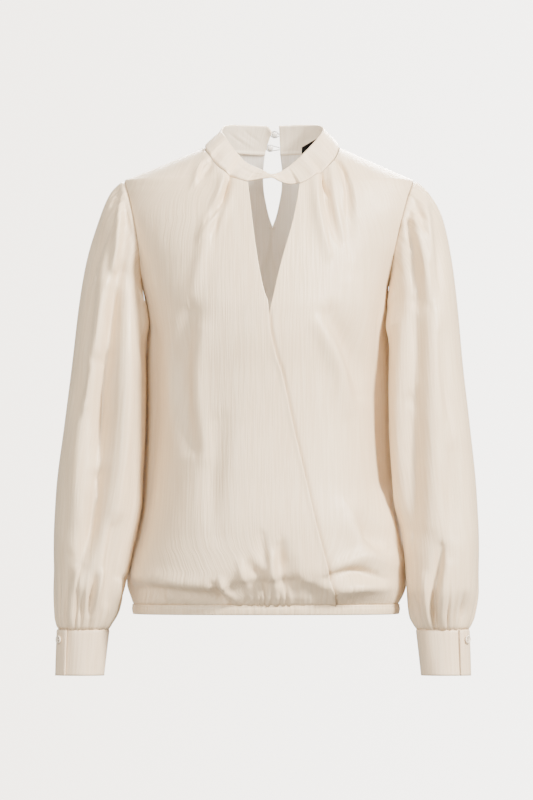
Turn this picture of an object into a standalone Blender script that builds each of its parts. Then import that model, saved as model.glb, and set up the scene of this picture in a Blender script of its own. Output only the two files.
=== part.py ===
"""Keyhole blouse with a stand collar, wrapped front, full sleeves and an elastic hem.

The garment keeps the hollow form it has when it is worn. Tables are in millimetres:
x to the wearer's left, y to the back, z up, from the middle of the neck at shoulder height.
"""
import math

import bmesh
import bpy
import numpy as np

MM = 0.001

CLOTH = 1.2          # wall of a sleeve or a panel with its folds
BAND = 2.0           # collar and cuff, doubled cloth with interfacing
CASING = 2.6         # hem band, doubled cloth round the elastic
SEAM = 0.3           # parting between two sewn pieces
WRAP_LIFT = 1.9      # the right front lies this far outside the left one
WRAP_DROP = 5.0      # the hidden part of the left front sinks this far in
WELD = 1e-6          # in metres

UNDERARM = -181.0
SHOULDER_TIP = -43.0
BAND_TOP = -594.0
BAND_FOOT = -607.0
PANEL_FOOT = -593.6   # lowest edge of the panels, just clear of the hem band
BACK_NECK_DROP = 8.0
SLIT_X = 4.7

# Level sections of the body. square rounds an oval out towards a box.
SECTIONS = (
    # height, centre, half_width, front_depth, back_depth, square
    (-607.0, -4.0, 172.0, 103.0, 103.0, 0.16),
    (-594.0, -4.0, 173.0, 105.0, 105.0, 0.16),
    (-584.0, -3.5, 175.5, 118.0, 116.0, 0.16),
    (-568.0, -4.0, 179.0, 132.0, 124.0, 0.15),
    (-545.0, -3.5, 179.0, 139.0, 127.0, 0.14),
    (-500.0, -3.5, 168.5, 139.0, 125.0, 0.12),
    (-430.0, -4.2, 155.7, 133.0, 116.0, 0.11),
    (-354.0, -4.3, 149.7, 129.0, 106.0, 0.11),
    (-300.0, -4.5, 149.0, 130.0, 104.0, 0.11),
    (-240.0, -4.0, 151.0, 134.0, 107.0, 0.11),
    (-210.0, -3.8, 154.5, 133.0, 109.0, 0.10),
    (-181.0, -4.8, 160.3, 128.0, 109.0, 0.09),
    (-150.0, -3.7, 170.0, 121.0, 107.0, 0.07),
    (-120.0, -2.4, 184.0, 112.0, 104.0, 0.05),
    (-80.0, -1.0, 197.0, 99.0, 98.0, 0.04),
    (-60.0, -0.5, 195.5, 92.0, 92.0, 0.04),
    (-50.0, -0.2, 192.0, 88.0, 88.0, 0.04),
    (-43.0, 0.0, 188.5, 85.0, 85.5, 0.04),
    (-38.0, 0.5, 177.4, 82.0, 83.5, 0.04),
    (-28.0, 1.4, 153.6, 76.5, 78.5, 0.04),
    (-18.0, 2.3, 130.3, 70.5, 73.0, 0.04),
    (-8.0, 3.2, 107.0, 64.0, 67.0, 0.04),
    (0.0, 3.9, 88.4, 58.0, 61.0, 0.04),
)

# Below the armholes the sides reach back behind the sleeves, so that no light passes
# between them. flare is how far each side seam stands out, seam_y how far back it lies.
SIDES = (
    # height, flare_right, flare_left, seam_y
    (-607.0, 0.0, 0.0, 0.0),
    (-594.0, 0.0, 0.0, 0.0),
    (-578.0, 1.5, 3.0, 6.0),
    (-552.0, 2.0, 5.0, 13.0),
    (-530.0, 2.0, 5.0, 18.0),
    (-490.0, 3.5, 8.0, 24.0),
    (-430.0, 6.5, 12.0, 28.0),
    (-354.0, 9.0, 13.5, 28.0),
    (-300.0, 9.0, 13.5, 28.0),
    (-250.0, 5.5, 11.0, 24.0),
    (-222.0, 3.0, 7.0, 15.0),
    (-198.0, 1.0, 2.5, 5.0),
    (-181.0, 0.0, 0.0, 0.0),
)

# Half the distance between the armhole seams.
ARMHOLE = (
    # height, half_reach
    (-181.0, 160.3),
    (-150.0, 164.3),
    (-135.0, 166.2),
    (-120.0, 168.8),
    (-95.0, 174.0),
    (-70.0, 180.0),
    (-55.0, 184.6),
    (-43.0, 188.5),
)

# Front edge of each front, from the hem to the collar. The right front lies over.
RIGHT_FRONT_EDGE = (
    # height, x
    (-594.0, 86.8),
    (-539.0, 73.6),
    (-497.0, 62.4),
    (-433.0, 47.5),
    (-355.0, 29.3),
    (-296.0, 16.9),
    (-266.0, 7.5),
    (-229.5, 0.5),
    (-203.5, -1.0),
    (-187.0, -6.5),
    (-128.7, -17.2),
    (-46.8, -27.3),
)
LEFT_FRONT_EDGE = (
    # height, x
    (-594.0, -78.0),
    (-497.0, -58.0),
    (-400.0, -37.0),
    (-296.0, -16.0),
    (-240.0, -6.0),
    (-203.5, 3.0),
    (-160.0, 13.0),
    (-84.5, 33.5),
    (-49.4, 39.4),
)

# Neck seam of each front, from the shoulder seam to the keyhole.
RIGHT_NECKLINE = (
    # along, x, height
    (0.00, -84.5, 0.0),
    (0.12, -83.6, -4.0),
    (0.30, -78.0, -11.7),
    (0.50, -67.0, -25.5),
    (0.68, -52.0, -37.0),
    (0.84, -40.0, -43.0),
    (1.00, -27.3, -46.8),
)
LEFT_NECKLINE = (
    # along, x, height
    (0.00, 92.3, 0.0),
    (0.12, 91.4, -5.0),
    (0.30, 87.0, -13.7),
    (0.50, 79.0, -24.0),
    (0.68, 68.0, -33.0),
    (0.84, 55.0, -42.0),
    (1.00, 39.4, -49.4),
)

# Half the gap of the teardrop slit in the back.
SLIT = (
    # height, half_gap
    (-102.3, 0.0),
    (-90.0, 4.4),
    (-75.0, 8.0),
    (-52.0, 11.8),
    (-35.0, 12.4),
    (-8.0, 10.0),
)

# Large folds of the body, as soft ridges and troughs between two points on its outline
# as seen from the front. relief is out of the cloth, bow bends the fold sideways.
BODY_FOLDS = (
    # side, x1, height1, x2, height2, bow, width, relief
    ("front", -73.0, -18.0, -89.0, -42.0, 2.0, 6.0, -2.4),
    ("front", -52.0, -38.0, -80.0, -96.0, -4.0, 6.0, -3.4),
    ("front", -60.0, -44.0, -86.0, -110.0, -4.0, 8.0, 2.4),
    ("front", 69.0, -32.0, 88.0, -122.0, 4.0, 6.5, -3.4),
    ("front", 61.0, -40.0, 78.0, -120.0, 4.0, 8.0, 2.4),
    ("front", 87.0, -14.0, 103.0, -86.0, -5.0, 6.0, -2.8),
    ("front", 79.0, -221.0, 118.0, -318.0, -6.0, 13.0, -4.0),
    ("front", 66.0, -232.0, 100.0, -340.0, -6.0, 12.0, 3.0),
    ("front", -104.0, -217.0, -98.0, -390.0, 10.0, 12.0, -3.5),
    ("front", -88.0, -240.0, -84.0, -400.0, 8.0, 13.0, 2.4),
    ("front", -142.0, -566.0, -44.0, -590.0, 3.0, 8.0, -4.5),
    ("front", 88.0, -553.0, 140.0, -556.0, -5.0, 9.0, -4.0),
    ("front", 121.0, -490.0, 148.0, -520.0, 2.0, 9.0, -3.0),
    ("front", 14.0, -515.0, 16.0, -560.0, 0.0, 9.0, -4.0),
    ("front", -20.0, -540.0, -10.0, -562.0, 0.0, 9.0, -3.0),
    ("back", -62.0, -120.0, -92.0, -330.0, 8.0, 15.0, -3.0),
    ("back", 66.0, -120.0, 88.0, -340.0, -8.0, 15.0, -3.0),
    ("back", -30.0, -330.0, -52.0, -520.0, 6.0, 14.0, 3.0),
    ("back", 34.0, -340.0, 46.0, -520.0, -6.0, 15.0, 3.0),
    ("back", -118.0, -545.0, -60.0, -582.0, 4.0, 9.0, -4.0),
    ("back", 60.0, -578.0, 120.0, -548.0, 4.0, 9.0, -4.0),
)

# Gathers where the elastic draws the body in.
HEM_GATHER_COUNT = 46
HEM_GATHER_DEPTH = 2.6
HEM_GATHER_REACH = 46.0

# Outline of each sleeve from the front. along is the row's place from shoulder to cuff.
RIGHT_SLEEVE = (
    # along, outer_x, outer_z, inner_x, inner_z, half_depth, y
    (0.00, -188.5, -43.0, -165.3, -181.0, 47.0, 0.0),
    (0.04, -205.0, -60.0, -166.8, -186.5, 55.0, 0.0),
    (0.10, -221.0, -97.0, -163.6, -198.0, 58.0, 0.0),
    (0.19, -237.0, -151.0, -161.4, -222.0, 59.0, -4.0),
    (0.29, -246.0, -204.0, -159.8, -254.0, 58.0, -10.0),
    (0.42, -255.6, -286.0, -158.8, -312.0, 57.0, -16.0),
    (0.55, -265.0, -360.0, -160.0, -374.0, 56.0, -20.0),
    (0.70, -276.0, -450.0, -167.3, -455.0, 57.0, -24.0),
    (0.82, -279.0, -520.0, -181.0, -522.0, 57.0, -26.0),
    (0.91, -278.0, -569.0, -190.5, -569.0, 53.0, -27.0),
    (0.97, -275.0, -608.0, -202.0, -608.0, 40.0, -26.0),
    (1.00, -273.5, -625.6, -207.0, -625.6, 32.5, -26.0),
)
LEFT_SLEEVE = (
    # along, outer_x, outer_z, inner_x, inner_z, half_depth, y
    (0.00, 188.5, -43.0, 155.5, -181.0, 47.0, 0.0),
    (0.04, 206.0, -60.0, 157.8, -186.5, 55.0, 0.0),
    (0.10, 225.0, -93.0, 158.4, -198.0, 58.0, 0.0),
    (0.19, 237.0, -148.0, 157.4, -222.0, 59.0, -4.0),
    (0.29, 244.0, -204.0, 156.0, -254.0, 58.0, -10.0),
    (0.42, 251.5, -286.0, 154.6, -312.0, 57.0, -16.0),
    (0.55, 260.0, -360.0, 155.6, -374.0, 56.0, -20.0),
    (0.70, 269.0, -450.0, 163.0, -455.0, 57.0, -24.0),
    (0.82, 272.0, -520.0, 176.5, -522.0, 57.0, -26.0),
    (0.91, 270.5, -573.0, 180.5, -573.0, 53.0, -27.0),
    (0.97, 264.0, -608.0, 184.5, -608.0, 40.0, -26.0),
    (1.00, 259.0, -625.6, 190.6, -625.6, 32.5, -26.0),
)

# Long soft folds of a sleeve. turn is 0 on the outer side, 0.25 in front, 0.5 inside.
SLEEVE_FOLDS = (
    # turn1, along1, turn2, along2, width, relief
    (0.17, 0.02, 0.23, 0.34, 0.030, -5.0),
    (0.23, 0.02, 0.30, 0.36, 0.032, 3.5),
    (0.09, 0.02, 0.12, 0.22, 0.028, -3.0),
    (0.20, 0.30, 0.15, 0.95, 0.045, -4.0),
    (0.27, 0.40, 0.30, 0.98, 0.045, 3.5),
    (0.36, 0.36, 0.38, 0.96, 0.040, -3.5),
    (0.05, 0.45, 0.07, 0.98, 0.040, 3.0),
    (0.62, 0.10, 0.66, 0.92, 0.045, -3.5),
    (0.73, 0.05, 0.76, 0.96, 0.045, 3.5),
    (0.84, 0.12, 0.88, 0.95, 0.045, -3.5),
)
HEAD_GATHER_COUNT = 14
HEAD_GATHER_DEPTH = 1.5
CUFF_GATHER_COUNT = 16
CUFF_GATHER_DEPTH = 2.6

CUFF_HEIGHT = 60.0
CUFF_TOP = -626.4
CUFF_HALF_DEPTH = 31.5
CUFF_OPENING_TURN = 0.05
CUFF_LAP_TURN = 0.10
CUFFS = (
    # name, side, top_outer, top_inner, foot_outer, foot_inner
    ("cuff_right", -1, -274.0, -207.0, -275.6, -213.2),
    ("cuff_left", 1, 258.8, 190.6, 260.4, 196.6),
)
CUFF_Y = -26.0

# Breaks of the neck seam, as shares of its run from one end of the back opening, round
# the front, to the other end.
SIDE_RIGHT, CORNER_RIGHT, CORNER_LEFT, SIDE_LEFT = 0.26, 0.48, 0.60, 0.80

# Free lower edge of the collar where it bridges the keyhole.
BRIDGE = (
    # along, x, y, height
    (0.48, -27.3, -82.8, -46.8),
    (0.50, -17.0, -82.4, -44.8),
    (0.52, -6.5, -82.6, -43.2),
    (0.54, 3.0, -83.2, -43.0),
    (0.56, 15.6, -83.4, -48.0),
    (0.58, 27.0, -82.6, -50.6),
    (0.60, 39.4, -80.8, -49.4),
)

# Top edge of the stand collar, and its wall, thicker where the front is pinched.
COLLAR_TOP = (
    # along, x, y, height, wall
    (0.00, 4.0, 50.6, 20.5, 2.0),
    (0.03, -3.0, 50.4, 28.4, 2.0),
    (0.08, -24.0, 48.5, 29.3, 2.0),
    (0.15, -46.0, 40.0, 29.9, 2.0),
    (0.21, -59.5, 21.0, 27.6, 2.0),
    (0.26, -61.5, 1.0, 21.5, 2.0),
    (0.32, -56.4, -24.0, 12.5, 2.0),
    (0.38, -44.5, -43.0, -4.5, 2.0),
    (0.43, -28.6, -57.0, -21.5, 2.2),
    (0.48, -14.0, -66.0, -28.5, 2.6),
    (0.515, -5.5, -72.0, -32.5, 3.2),
    (0.54, 2.8, -78.0, -36.4, 4.0),
    (0.565, 12.0, -72.0, -34.5, 3.2),
    (0.60, 25.0, -62.0, -26.5, 2.4),
    (0.65, 41.2, -50.0, -12.2, 2.0),
    (0.71, 57.0, -32.0, 4.5, 2.0),
    (0.76, 67.5, -13.0, 17.0, 2.0),
    (0.81, 71.0, 8.0, 24.6, 2.0),
    (0.87, 64.0, 30.0, 29.2, 2.0),
    (0.93, 44.0, 43.5, 29.8, 2.0),
    (1.00, 13.4, 50.6, 28.8, 2.0),
)

NECK_BUTTONS = (
    # name, x, height on the collar
    ("upper", 7.2, 16.5),
    ("lower", 1.6, -1.0),
)
NECK_BUTTON_RADIUS = 3.8
NECK_BUTTON_THICK = 3.2
NECK_BUTTON_SEAT = 1.0
THREAD = 1.1

CUFF_BUTTON_RADIUS = 5.5
CUFF_BUTTON_THICK = 2.4

LABEL_WALL = 0.8
LABEL_DROP = 30.0
LABEL_X = (43.5, 76.0)
LABEL_TOP = (-0.3, 18.5)
LABEL_LEAN = 1.5     # its foot hangs this far forward of its top

# Rows and columns of the panels' grids: heights below the armhole, rows above it, and the
# columns of a panel, of which the first few end on the shoulder seam.
LOW_ROWS = (PANEL_FOOT, -588.0, -580.0, -569.0, -555.0, -535.0, -505.0, -465.0, -420.0,
            -370.0, -320.0, -275.0, -240.0, -210.0, UNDERARM)
HIGH_ROWS = 10
FRONT_COLUMNS, FRONT_SHOULDER_COLUMNS = 19, 8
BACK_COLUMNS, BACK_SHOULDER_COLUMNS = 15, 7
BRIDGE_COLUMNS = 14
SLEEVE_TURNS = 44
SLEEVE_ROWS = (0.0, 0.018, 0.045, 0.08, 0.12, 0.17, 0.24, 0.32, 0.42, 0.53, 0.64, 0.74,
               0.82, 0.88, 0.92, 0.95, 0.975, 1.0)
CUFF_COLUMNS = 34
BAND_COLUMNS = 72
BAND_RIPPLES = 32
BAND_RIPPLE = 0.7
STEP = 1e-3          # step in a share of a run, for a surface's own direction
SIDE_MARGIN = 0.0013  # share of a quarter that parts a panel from the side seam
SLEEVE_GAP = 0.65    # parting of a sleeve and its armhole
COLLAR_GAP = 0.85    # height of the collar's foot above the panels
COLLAR_GAP_FRONT = 0.7
COLLAR_BULGE = 1.4
LAP_LIFT = BAND + 0.8


def smooth_table(rows, key, value, at):
    """Monotone cubic curve through a table's rows, read at the given places."""
    x = np.array([row[key] for row in rows], float)
    y = np.array([row[value] for row in rows], float)
    step = np.diff(x)
    slope = np.diff(y) / step
    before, after = slope[:-1], slope[1:]
    same = before * after > 0
    total = np.where(same, before + after, 1.0)
    inside = np.where(same, 2.0 * before * after / total, 0.0)
    tangent = np.concatenate([slope[:1], inside, slope[-1:]])
    at = np.clip(np.asarray(at, float), x[0], x[-1])
    i = np.clip(np.searchsorted(x, at, side="right") - 1, 0, len(x) - 2)
    h = step[i]
    t = (at - x[i]) / h
    rise = (2 * t**3 - 3 * t**2 + 1) * y[i] + (3 * t**2 - 2 * t**3) * y[i + 1]
    bend = (t**3 - 2 * t**2 + t) * tangent[i] + (t**3 - t**2) * tangent[i + 1]
    return rise + h * bend


def ease(value, low, high):
    """0 below low, 1 above high, smooth between."""
    t = np.clip((np.asarray(value, float) - low) / (high - low), 0.0, 1.0)
    return t * t * (3 - 2 * t)


def section(height, column):
    return smooth_table(SECTIONS, 0, column, height)


def body_oval(quarter, height):
    """Point of the smooth body. quarter is -1 and 1 at the side seams, 0 in front, 2 behind."""
    s = np.sin(quarter * math.pi / 2)
    c = np.cos(quarter * math.pi / 2)
    square = section(height, 5)
    depth = np.where(c > 0, section(height, 3), section(height, 4))
    flare = np.where(s < 0, smooth_table(SIDES, 0, 1, height), smooth_table(SIDES, 0, 2, height))
    far = np.where(c > 0, ease(np.abs(s), 0.92, 1.0), ease(np.abs(s), 0.70, 1.0))
    x = section(height, 1) + section(height, 2) * s * (1 + square * c * c)
    x = x + np.sign(s) * flare * far
    y = -depth * c * (1 + square * s * s) + smooth_table(SIDES, 0, 3, height) * s**4
    return np.stack(np.broadcast_arrays(x, y, height), axis=-1)


def quarter_at(x, height, behind=False):
    """The quarter at which the body has this x."""
    reach = np.clip((x - section(height, 1)) / section(height, 2), -1.0, 1.0)
    square = section(height, 5)
    s = reach.copy() if isinstance(reach, np.ndarray) else np.array(reach)
    for _ in range(30):
        s = reach / (1 + square * (1 - s * s))
    quarter = np.arcsin(np.clip(s, -1.0, 1.0)) * 2 / math.pi
    return 2 - quarter if behind else quarter


def fold_relief(x, z, folds):
    """Summed relief of soft folds, each along a slightly bowed line."""
    total = np.zeros(np.broadcast(x, z).shape)
    for x1, z1, x2, z2, bow, width, relief in folds:
        run = math.hypot(x2 - x1, z2 - z1)
        ax, az = (x2 - x1) / run, (z2 - z1) / run
        along = ((x - x1) * ax + (z - z1) * az) / run
        t = np.clip(along, 0.0, 1.0)
        off = (x - x1) * az - (z - z1) * ax - bow * np.sin(math.pi * t)
        over = np.maximum(np.abs(along - 0.5) - 0.5, 0.0) * run
        taper = 0.35 + 0.65 * np.sin(math.pi * np.clip(t * 0.9 + 0.08, 0, 1))
        total = total + relief * taper * np.exp(-(off**2 + over**2) / width**2)
    return total


FRONT_FOLDS = [row[1:] for row in BODY_FOLDS if row[0] == "front"]
BACK_FOLDS = [row[1:] for row in BODY_FOLDS if row[0] == "back"]


def hem_gathers(quarter, x, height, front):
    """Waves that fade out above the elastic, calm beside the wrapped edge."""
    phase = quarter * HEM_GATHER_COUNT / 4
    uneven = 1 + 0.45 * np.sin(phase * 1.7 + 1.0)
    wave = np.sin(2 * math.pi * (phase + 0.16 * np.sin(phase * 2.3)))
    rise = np.clip((height - BAND_TOP) / HEM_GATHER_REACH, 0.0, 1.0)
    fade = (1 - rise) ** 2 * (0.25 + 0.75 * ease(rise, 0.0, 0.3))
    calm = 1.0
    if front:
        gap = np.abs(x - smooth_table(RIGHT_FRONT_EDGE, 0, 1, height))
        calm = ease(gap, 4.0, 26.0)
    return HEM_GATHER_DEPTH * wave * uneven * fade * calm


def body_point(quarter, height, lift=0.0):
    """Outer face of the body with its folds, lifted along the face's own direction."""
    quarter = np.asarray(quarter, float)
    height = np.asarray(height, float)
    base = body_oval(quarter, height)
    side = body_oval(quarter + STEP, height) - body_oval(quarter - STEP, height)
    step = 0.5
    top = np.minimum(height + step, 0.0)
    up = body_oval(quarter, top) - body_oval(quarter, top - 2 * step)
    normal = np.cross(side, up)
    normal = normal / np.linalg.norm(normal, axis=-1, keepdims=True)
    front = np.cos(quarter * math.pi / 2) > 0
    x = base[..., 0]
    relief = np.where(
        front,
        fold_relief(x, height, FRONT_FOLDS) + hem_gathers(quarter, x, height, True),
        fold_relief(x, height, BACK_FOLDS) + hem_gathers(quarter, x, height, False),
    )
    edge = ease(np.abs(np.cos(quarter * math.pi / 2)), 0.0, 0.25)
    point = base + normal * (relief * edge + lift)[..., None]
    point[..., 2] = np.maximum(point[..., 2], PANEL_FOOT)
    return point


def wall_points(point, a, b, da, db, wall):
    """Outer and inner points of a wall, square to the outer face at each place."""
    outer = point(a, b)
    across = point(a + da, b) - point(a - da, b)
    along = point(a, b + db) - point(a, b - db)
    normal = np.cross(across, along)
    normal = normal / np.maximum(np.linalg.norm(normal, axis=-1, keepdims=True), 1e-12)
    return outer, outer - normal * np.asarray(wall)[..., None]


def body_wall(point, quarter, height):
    """Wall points of a body panel, kept above the hem band."""
    outer, inner = wall_points(point, quarter, height, STEP, 0.4, CLOTH)
    inner[..., 2] = np.maximum(inner[..., 2], PANEL_FOOT)
    return outer, inner


def panel_places(side, columns, shoulder_columns, edge, neckline, behind):
    """Places (quarter, height) of a panel's rows, from the hem up to shoulder and neck."""
    seam_side = side * (1 + SIDE_MARGIN) if behind else side * (1 - SIDE_MARGIN)
    if behind and side < 0:
        seam_side = 3 - SIDE_MARGIN
    u = np.linspace(0.0, 1.0, columns + 1)
    corner_share = shoulder_columns / columns
    places = []
    for height in LOW_ROWS:
        inner = quarter_at(edge(height), height, behind)
        places.append((seam_side + (inner - seam_side) * u, np.full(u.shape, height)))
    first, first_height = places[-1]
    x_low = body_oval(first, first_height)[..., 0]
    share = np.clip(u / corner_share, 0.0, 1.0)
    z_top = SHOULDER_TIP * (1 - share)
    x_top = body_oval(np.full(u.shape, seam_side), z_top)[..., 0]
    past = (u - corner_share) / (1 - corner_share)
    neck_x, neck_z = neckline(np.clip(past, 0.0, 1.0))
    x_top = np.where(past > 0, neck_x, x_top)
    z_top = np.where(past > 0, neck_z, z_top)
    for row in range(1, HIGH_ROWS + 1):
        rise = math.sin(row / HIGH_ROWS * math.pi / 2)
        z = UNDERARM + (z_top - UNDERARM) * rise
        x = x_low + (x_top - x_low) * rise
        reach = section(z[:1], 1) + side * smooth_table(ARMHOLE, 0, 1, z[:1])
        x = x + (reach - x[0]) * (1 - u) ** 2
        if row < HIGH_ROWS:
            x = x + (edge(z[-1]) - x[-1]) * u**2
            quarter = quarter_at(x, z, behind)
        else:
            quarter = np.where(past > 0, quarter_at(x, z, behind), seam_side)
        places.append((quarter, z))
    return np.array([p[0] for p in places]), np.array([p[1] for p in places])


def front_panel(name, side, edge_rows, neck_rows, material):
    """One front, from its side seam to its front edge."""

    def edge(height):
        return smooth_table(edge_rows, 0, 1, height)

    def neckline(along):
        return smooth_table(neck_rows, 0, 1, along), smooth_table(neck_rows, 0, 2, along)

    def lift(quarter, height):
        x = body_oval(quarter, height)[..., 0]
        if side < 0:
            hidden = smooth_table(LEFT_FRONT_EDGE, 0, 1, height)
            low = 1 - ease(height, -203.0, -150.0)
            return WRAP_LIFT * ease(x, hidden - 45.0, hidden - 5.0) * low
        shown = smooth_table(RIGHT_FRONT_EDGE, 0, 1, height)
        low = 1 - ease(height, -225.0, -203.5)
        return -WRAP_DROP * ease(shown - x, 2.0, 32.0) * low

    def point(quarter, height):
        return body_point(quarter, height, lift(quarter, height))

    quarter, height = panel_places(
        side, FRONT_COLUMNS, FRONT_SHOULDER_COLUMNS, edge, neckline, False
    )
    outer, inner = body_wall(point, quarter, height)
    return cloth_solid(name, [(outer, inner)], material)


def slit_half(height):
    return smooth_table(SLIT, 0, 1, height)


def back_panel(name, material):
    """The back in one piece, with the teardrop slit open at the neck."""
    grids = []
    for side in (-1, 1):

        def edge(height, side=side):
            return np.asarray(SLIT_X + side * slit_half(height), float)

        def neckline(along, side=side):
            return back_neckline(side, along)

        quarter, height = panel_places(
            side, BACK_COLUMNS, BACK_SHOULDER_COLUMNS, edge, neckline, True
        )
        outer, inner = body_wall(body_point, quarter, height)
        grids.append((outer, inner))
    return cloth_solid(name, grids, material)


def armhole(side, turn):
    """The armhole seam. turn is 0 at the shoulder, 0.25 in front, 0.5 under the arm."""
    angle = 2 * math.pi * turn
    middle = (SHOULDER_TIP + UNDERARM) / 2
    half = (SHOULDER_TIP - UNDERARM) / 2
    z = middle + half * np.cos(angle)
    reach = section(z, 1) + side * smooth_table(ARMHOLE, 0, 1, z)
    front = body_oval(quarter_at(reach, z), z)
    behind = body_oval(quarter_at(reach, z, True), z)
    return np.where((np.sin(angle) > 0)[..., None], front, behind)


def sleeve_point(side, turn, along):
    """Outer face of a sleeve, from the armhole at 0 to the cuff at 1."""
    rows = RIGHT_SLEEVE if side < 0 else LEFT_SLEEVE
    turn, along = np.broadcast_arrays(np.asarray(turn, float), np.asarray(along, float))
    read = [smooth_table(rows, 0, column, along) for column in range(1, 7)]
    outer_x, outer_z, inner_x, inner_z, depth, y = read
    angle = 2 * math.pi * turn
    c, s = np.cos(angle), np.sin(angle)
    relief = sleeve_relief(turn, along)
    half = np.hypot(outer_x - inner_x, outer_z - inner_z) / 2
    wide = 1 + relief / half
    deep = 1 + relief / depth
    x = (outer_x + inner_x) / 2 + (outer_x - inner_x) / 2 * c * (1 + 0.06 * s * s) * wide
    z = (outer_z + inner_z) / 2 + (outer_z - inner_z) / 2 * c * wide
    ring = np.stack([x, y - depth * s * (1 + 0.06 * c * c) * deep, z], axis=-1)
    zero = np.zeros_like(along)
    start = [smooth_table(rows, 0, column, zero) for column in range(1, 7)]
    sx = (start[0] + start[2]) / 2 + (start[0] - start[2]) / 2 * c
    sz = (start[1] + start[3]) / 2 + (start[1] - start[3]) / 2 * c
    first = np.stack([sx, start[5] - start[4] * s, sz], axis=-1)
    keep = (1 - ease(along, 0.0, 0.12))[..., None]
    out = np.array([side * SLEEVE_GAP, 0.0, 0.0])
    return ring + (armhole(side, turn) - first) * keep + out


def sleeve_relief(turn, along):
    """Long folds, small gathers at the sleeve head and deeper ones above the cuff."""
    total = np.zeros(turn.shape)
    for turn1, along1, turn2, along2, width, relief in SLEEVE_FOLDS:
        t = (along - along1) / (along2 - along1)
        centre = turn1 + (turn2 - turn1) * np.clip(t, 0, 1)
        off = (turn - centre + 0.5) % 1.0 - 0.5
        window = ease(t, -0.05, 0.22) * (1 - ease(t, 0.72, 1.05))
        total = total + relief * window * np.exp(-((off / width) ** 2))
    top = np.maximum(np.cos(2 * math.pi * turn) + 0.1, 0.0)
    head = np.sin(2 * math.pi * HEAD_GATHER_COUNT * (turn + 0.006 * np.sin(turn * 40.0)))
    fade = ease(along, 0.0, 0.035) * (1 - ease(along, 0.06, 0.20))
    total = total + HEAD_GATHER_DEPTH * head * top * fade
    cuff = np.sin(2 * math.pi * CUFF_GATHER_COUNT * (turn + 0.004 * np.sin(turn * 31.0)))
    uneven = 0.7 + 0.3 * np.sin(turn * 23.0)
    fade = ease(along, 0.84, 0.955) * (1 - 0.6 * ease(along, 0.97, 1.0))
    inner = 1 - 0.5 * ease(-np.cos(2 * math.pi * turn), 0.5, 1.0)
    return (total + CUFF_GATHER_DEPTH * cuff * uneven * fade) * inner * ease(along, 0.0, 0.03)


def sleeve(name, side, material):
    turn = np.linspace(0.0, 1.0, SLEEVE_TURNS + 1)[None, :]
    along = np.array(SLEEVE_ROWS)[:, None]
    turn, along = np.broadcast_arrays(turn, along)

    def point(a, b):
        return sleeve_point(side, a % 1.0, np.clip(b, 0.0, 1.0))

    outer, inner = wall_points(point, turn, along, STEP, STEP, CLOTH * side)
    return cloth_solid(name, [(outer, inner)], material)


def cuff_point(row, turn, drop):
    """Outer face of a cuff. drop is 0 at its top and 1 at its foot."""
    _, side, top_outer, top_inner, foot_outer, foot_inner = row
    outer = top_outer + (foot_outer - top_outer) * drop
    inner = top_inner + (foot_inner - top_inner) * drop
    angle = 2 * math.pi * turn
    lap = ease(turn, CUFF_OPENING_TURN + 1 - 0.06, CUFF_OPENING_TURN + 1)
    half = (outer - inner) / 2 + side * LAP_LIFT * lap
    depth = CUFF_HALF_DEPTH + LAP_LIFT * lap
    x = (outer + inner) / 2 + half * np.cos(angle) * (1 + 0.05 * np.sin(angle) ** 2)
    y = CUFF_Y - depth * np.sin(angle)
    z = CUFF_TOP - CUFF_HEIGHT * drop
    return np.stack(np.broadcast_arrays(x, y, z), axis=-1)


def cuff(row, material):
    """A band wrapped once round, with its button end lapped over the other."""
    name, side = row[:2]
    turn = np.linspace(CUFF_OPENING_TURN, CUFF_OPENING_TURN + 1 + CUFF_LAP_TURN,
                       CUFF_COLUMNS)[None, :]
    drop = np.array([0.0, 0.33, 0.67, 1.0])[:, None]
    turn, drop = np.broadcast_arrays(turn, drop)

    def point(a, b):
        return cuff_point(row, a, b)

    outer, inner = wall_points(point, turn, drop, STEP, STEP, BAND * side)
    return cloth_solid(name, [(outer, inner)], material)


def back_neckline(side, along):
    """Neck seam of the back, from the shoulder seam at 0 to the slit at 1."""
    centre, half = section(0.0, 1), section(0.0, 2)
    start = centre + side * half
    end = SLIT_X + side * slit_half(-BACK_NECK_DROP)
    x = start + (end - start) * along**0.9
    away = np.abs(x - centre) / half
    return x, -BACK_NECK_DROP * (1 - np.minimum(away, 1.0) ** 2.4)


def neck_seam(along):
    """The line that the collar stands on."""
    along = np.clip(along, 0.0, 1.0)
    right = along < 0.5
    x_back, z_back = back_neckline(
        np.where(right, -1, 1),
        np.clip(np.where(right, 1 - along / SIDE_RIGHT,
                         (along - SIDE_LEFT) / (1 - SIDE_LEFT)), 0.0, 1.0),
    )
    t_right = (along - SIDE_RIGHT) / (CORNER_RIGHT - SIDE_RIGHT)
    t_left = (SIDE_LEFT - along) / (SIDE_LEFT - CORNER_LEFT)
    x_front, z_front = (
        np.where(right, smooth_table(RIGHT_NECKLINE, 0, c, t_right),
                 smooth_table(LEFT_NECKLINE, 0, c, t_left))
        for c in (1, 2)
    )
    behind = (along < SIDE_RIGHT) | (along > SIDE_LEFT)
    x = np.where(behind, x_back, x_front)
    z = np.where(behind, z_back, z_front)
    quarter = np.where(behind, quarter_at(x, z, True), quarter_at(x, z))
    sewn = body_point(quarter, z)
    free = np.stack([smooth_table(BRIDGE, 0, c, along) for c in (1, 2, 3)], axis=-1)
    bridge = (along > CORNER_RIGHT) & (along < CORNER_LEFT)
    return np.where(bridge[..., None], free, sewn)


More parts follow.
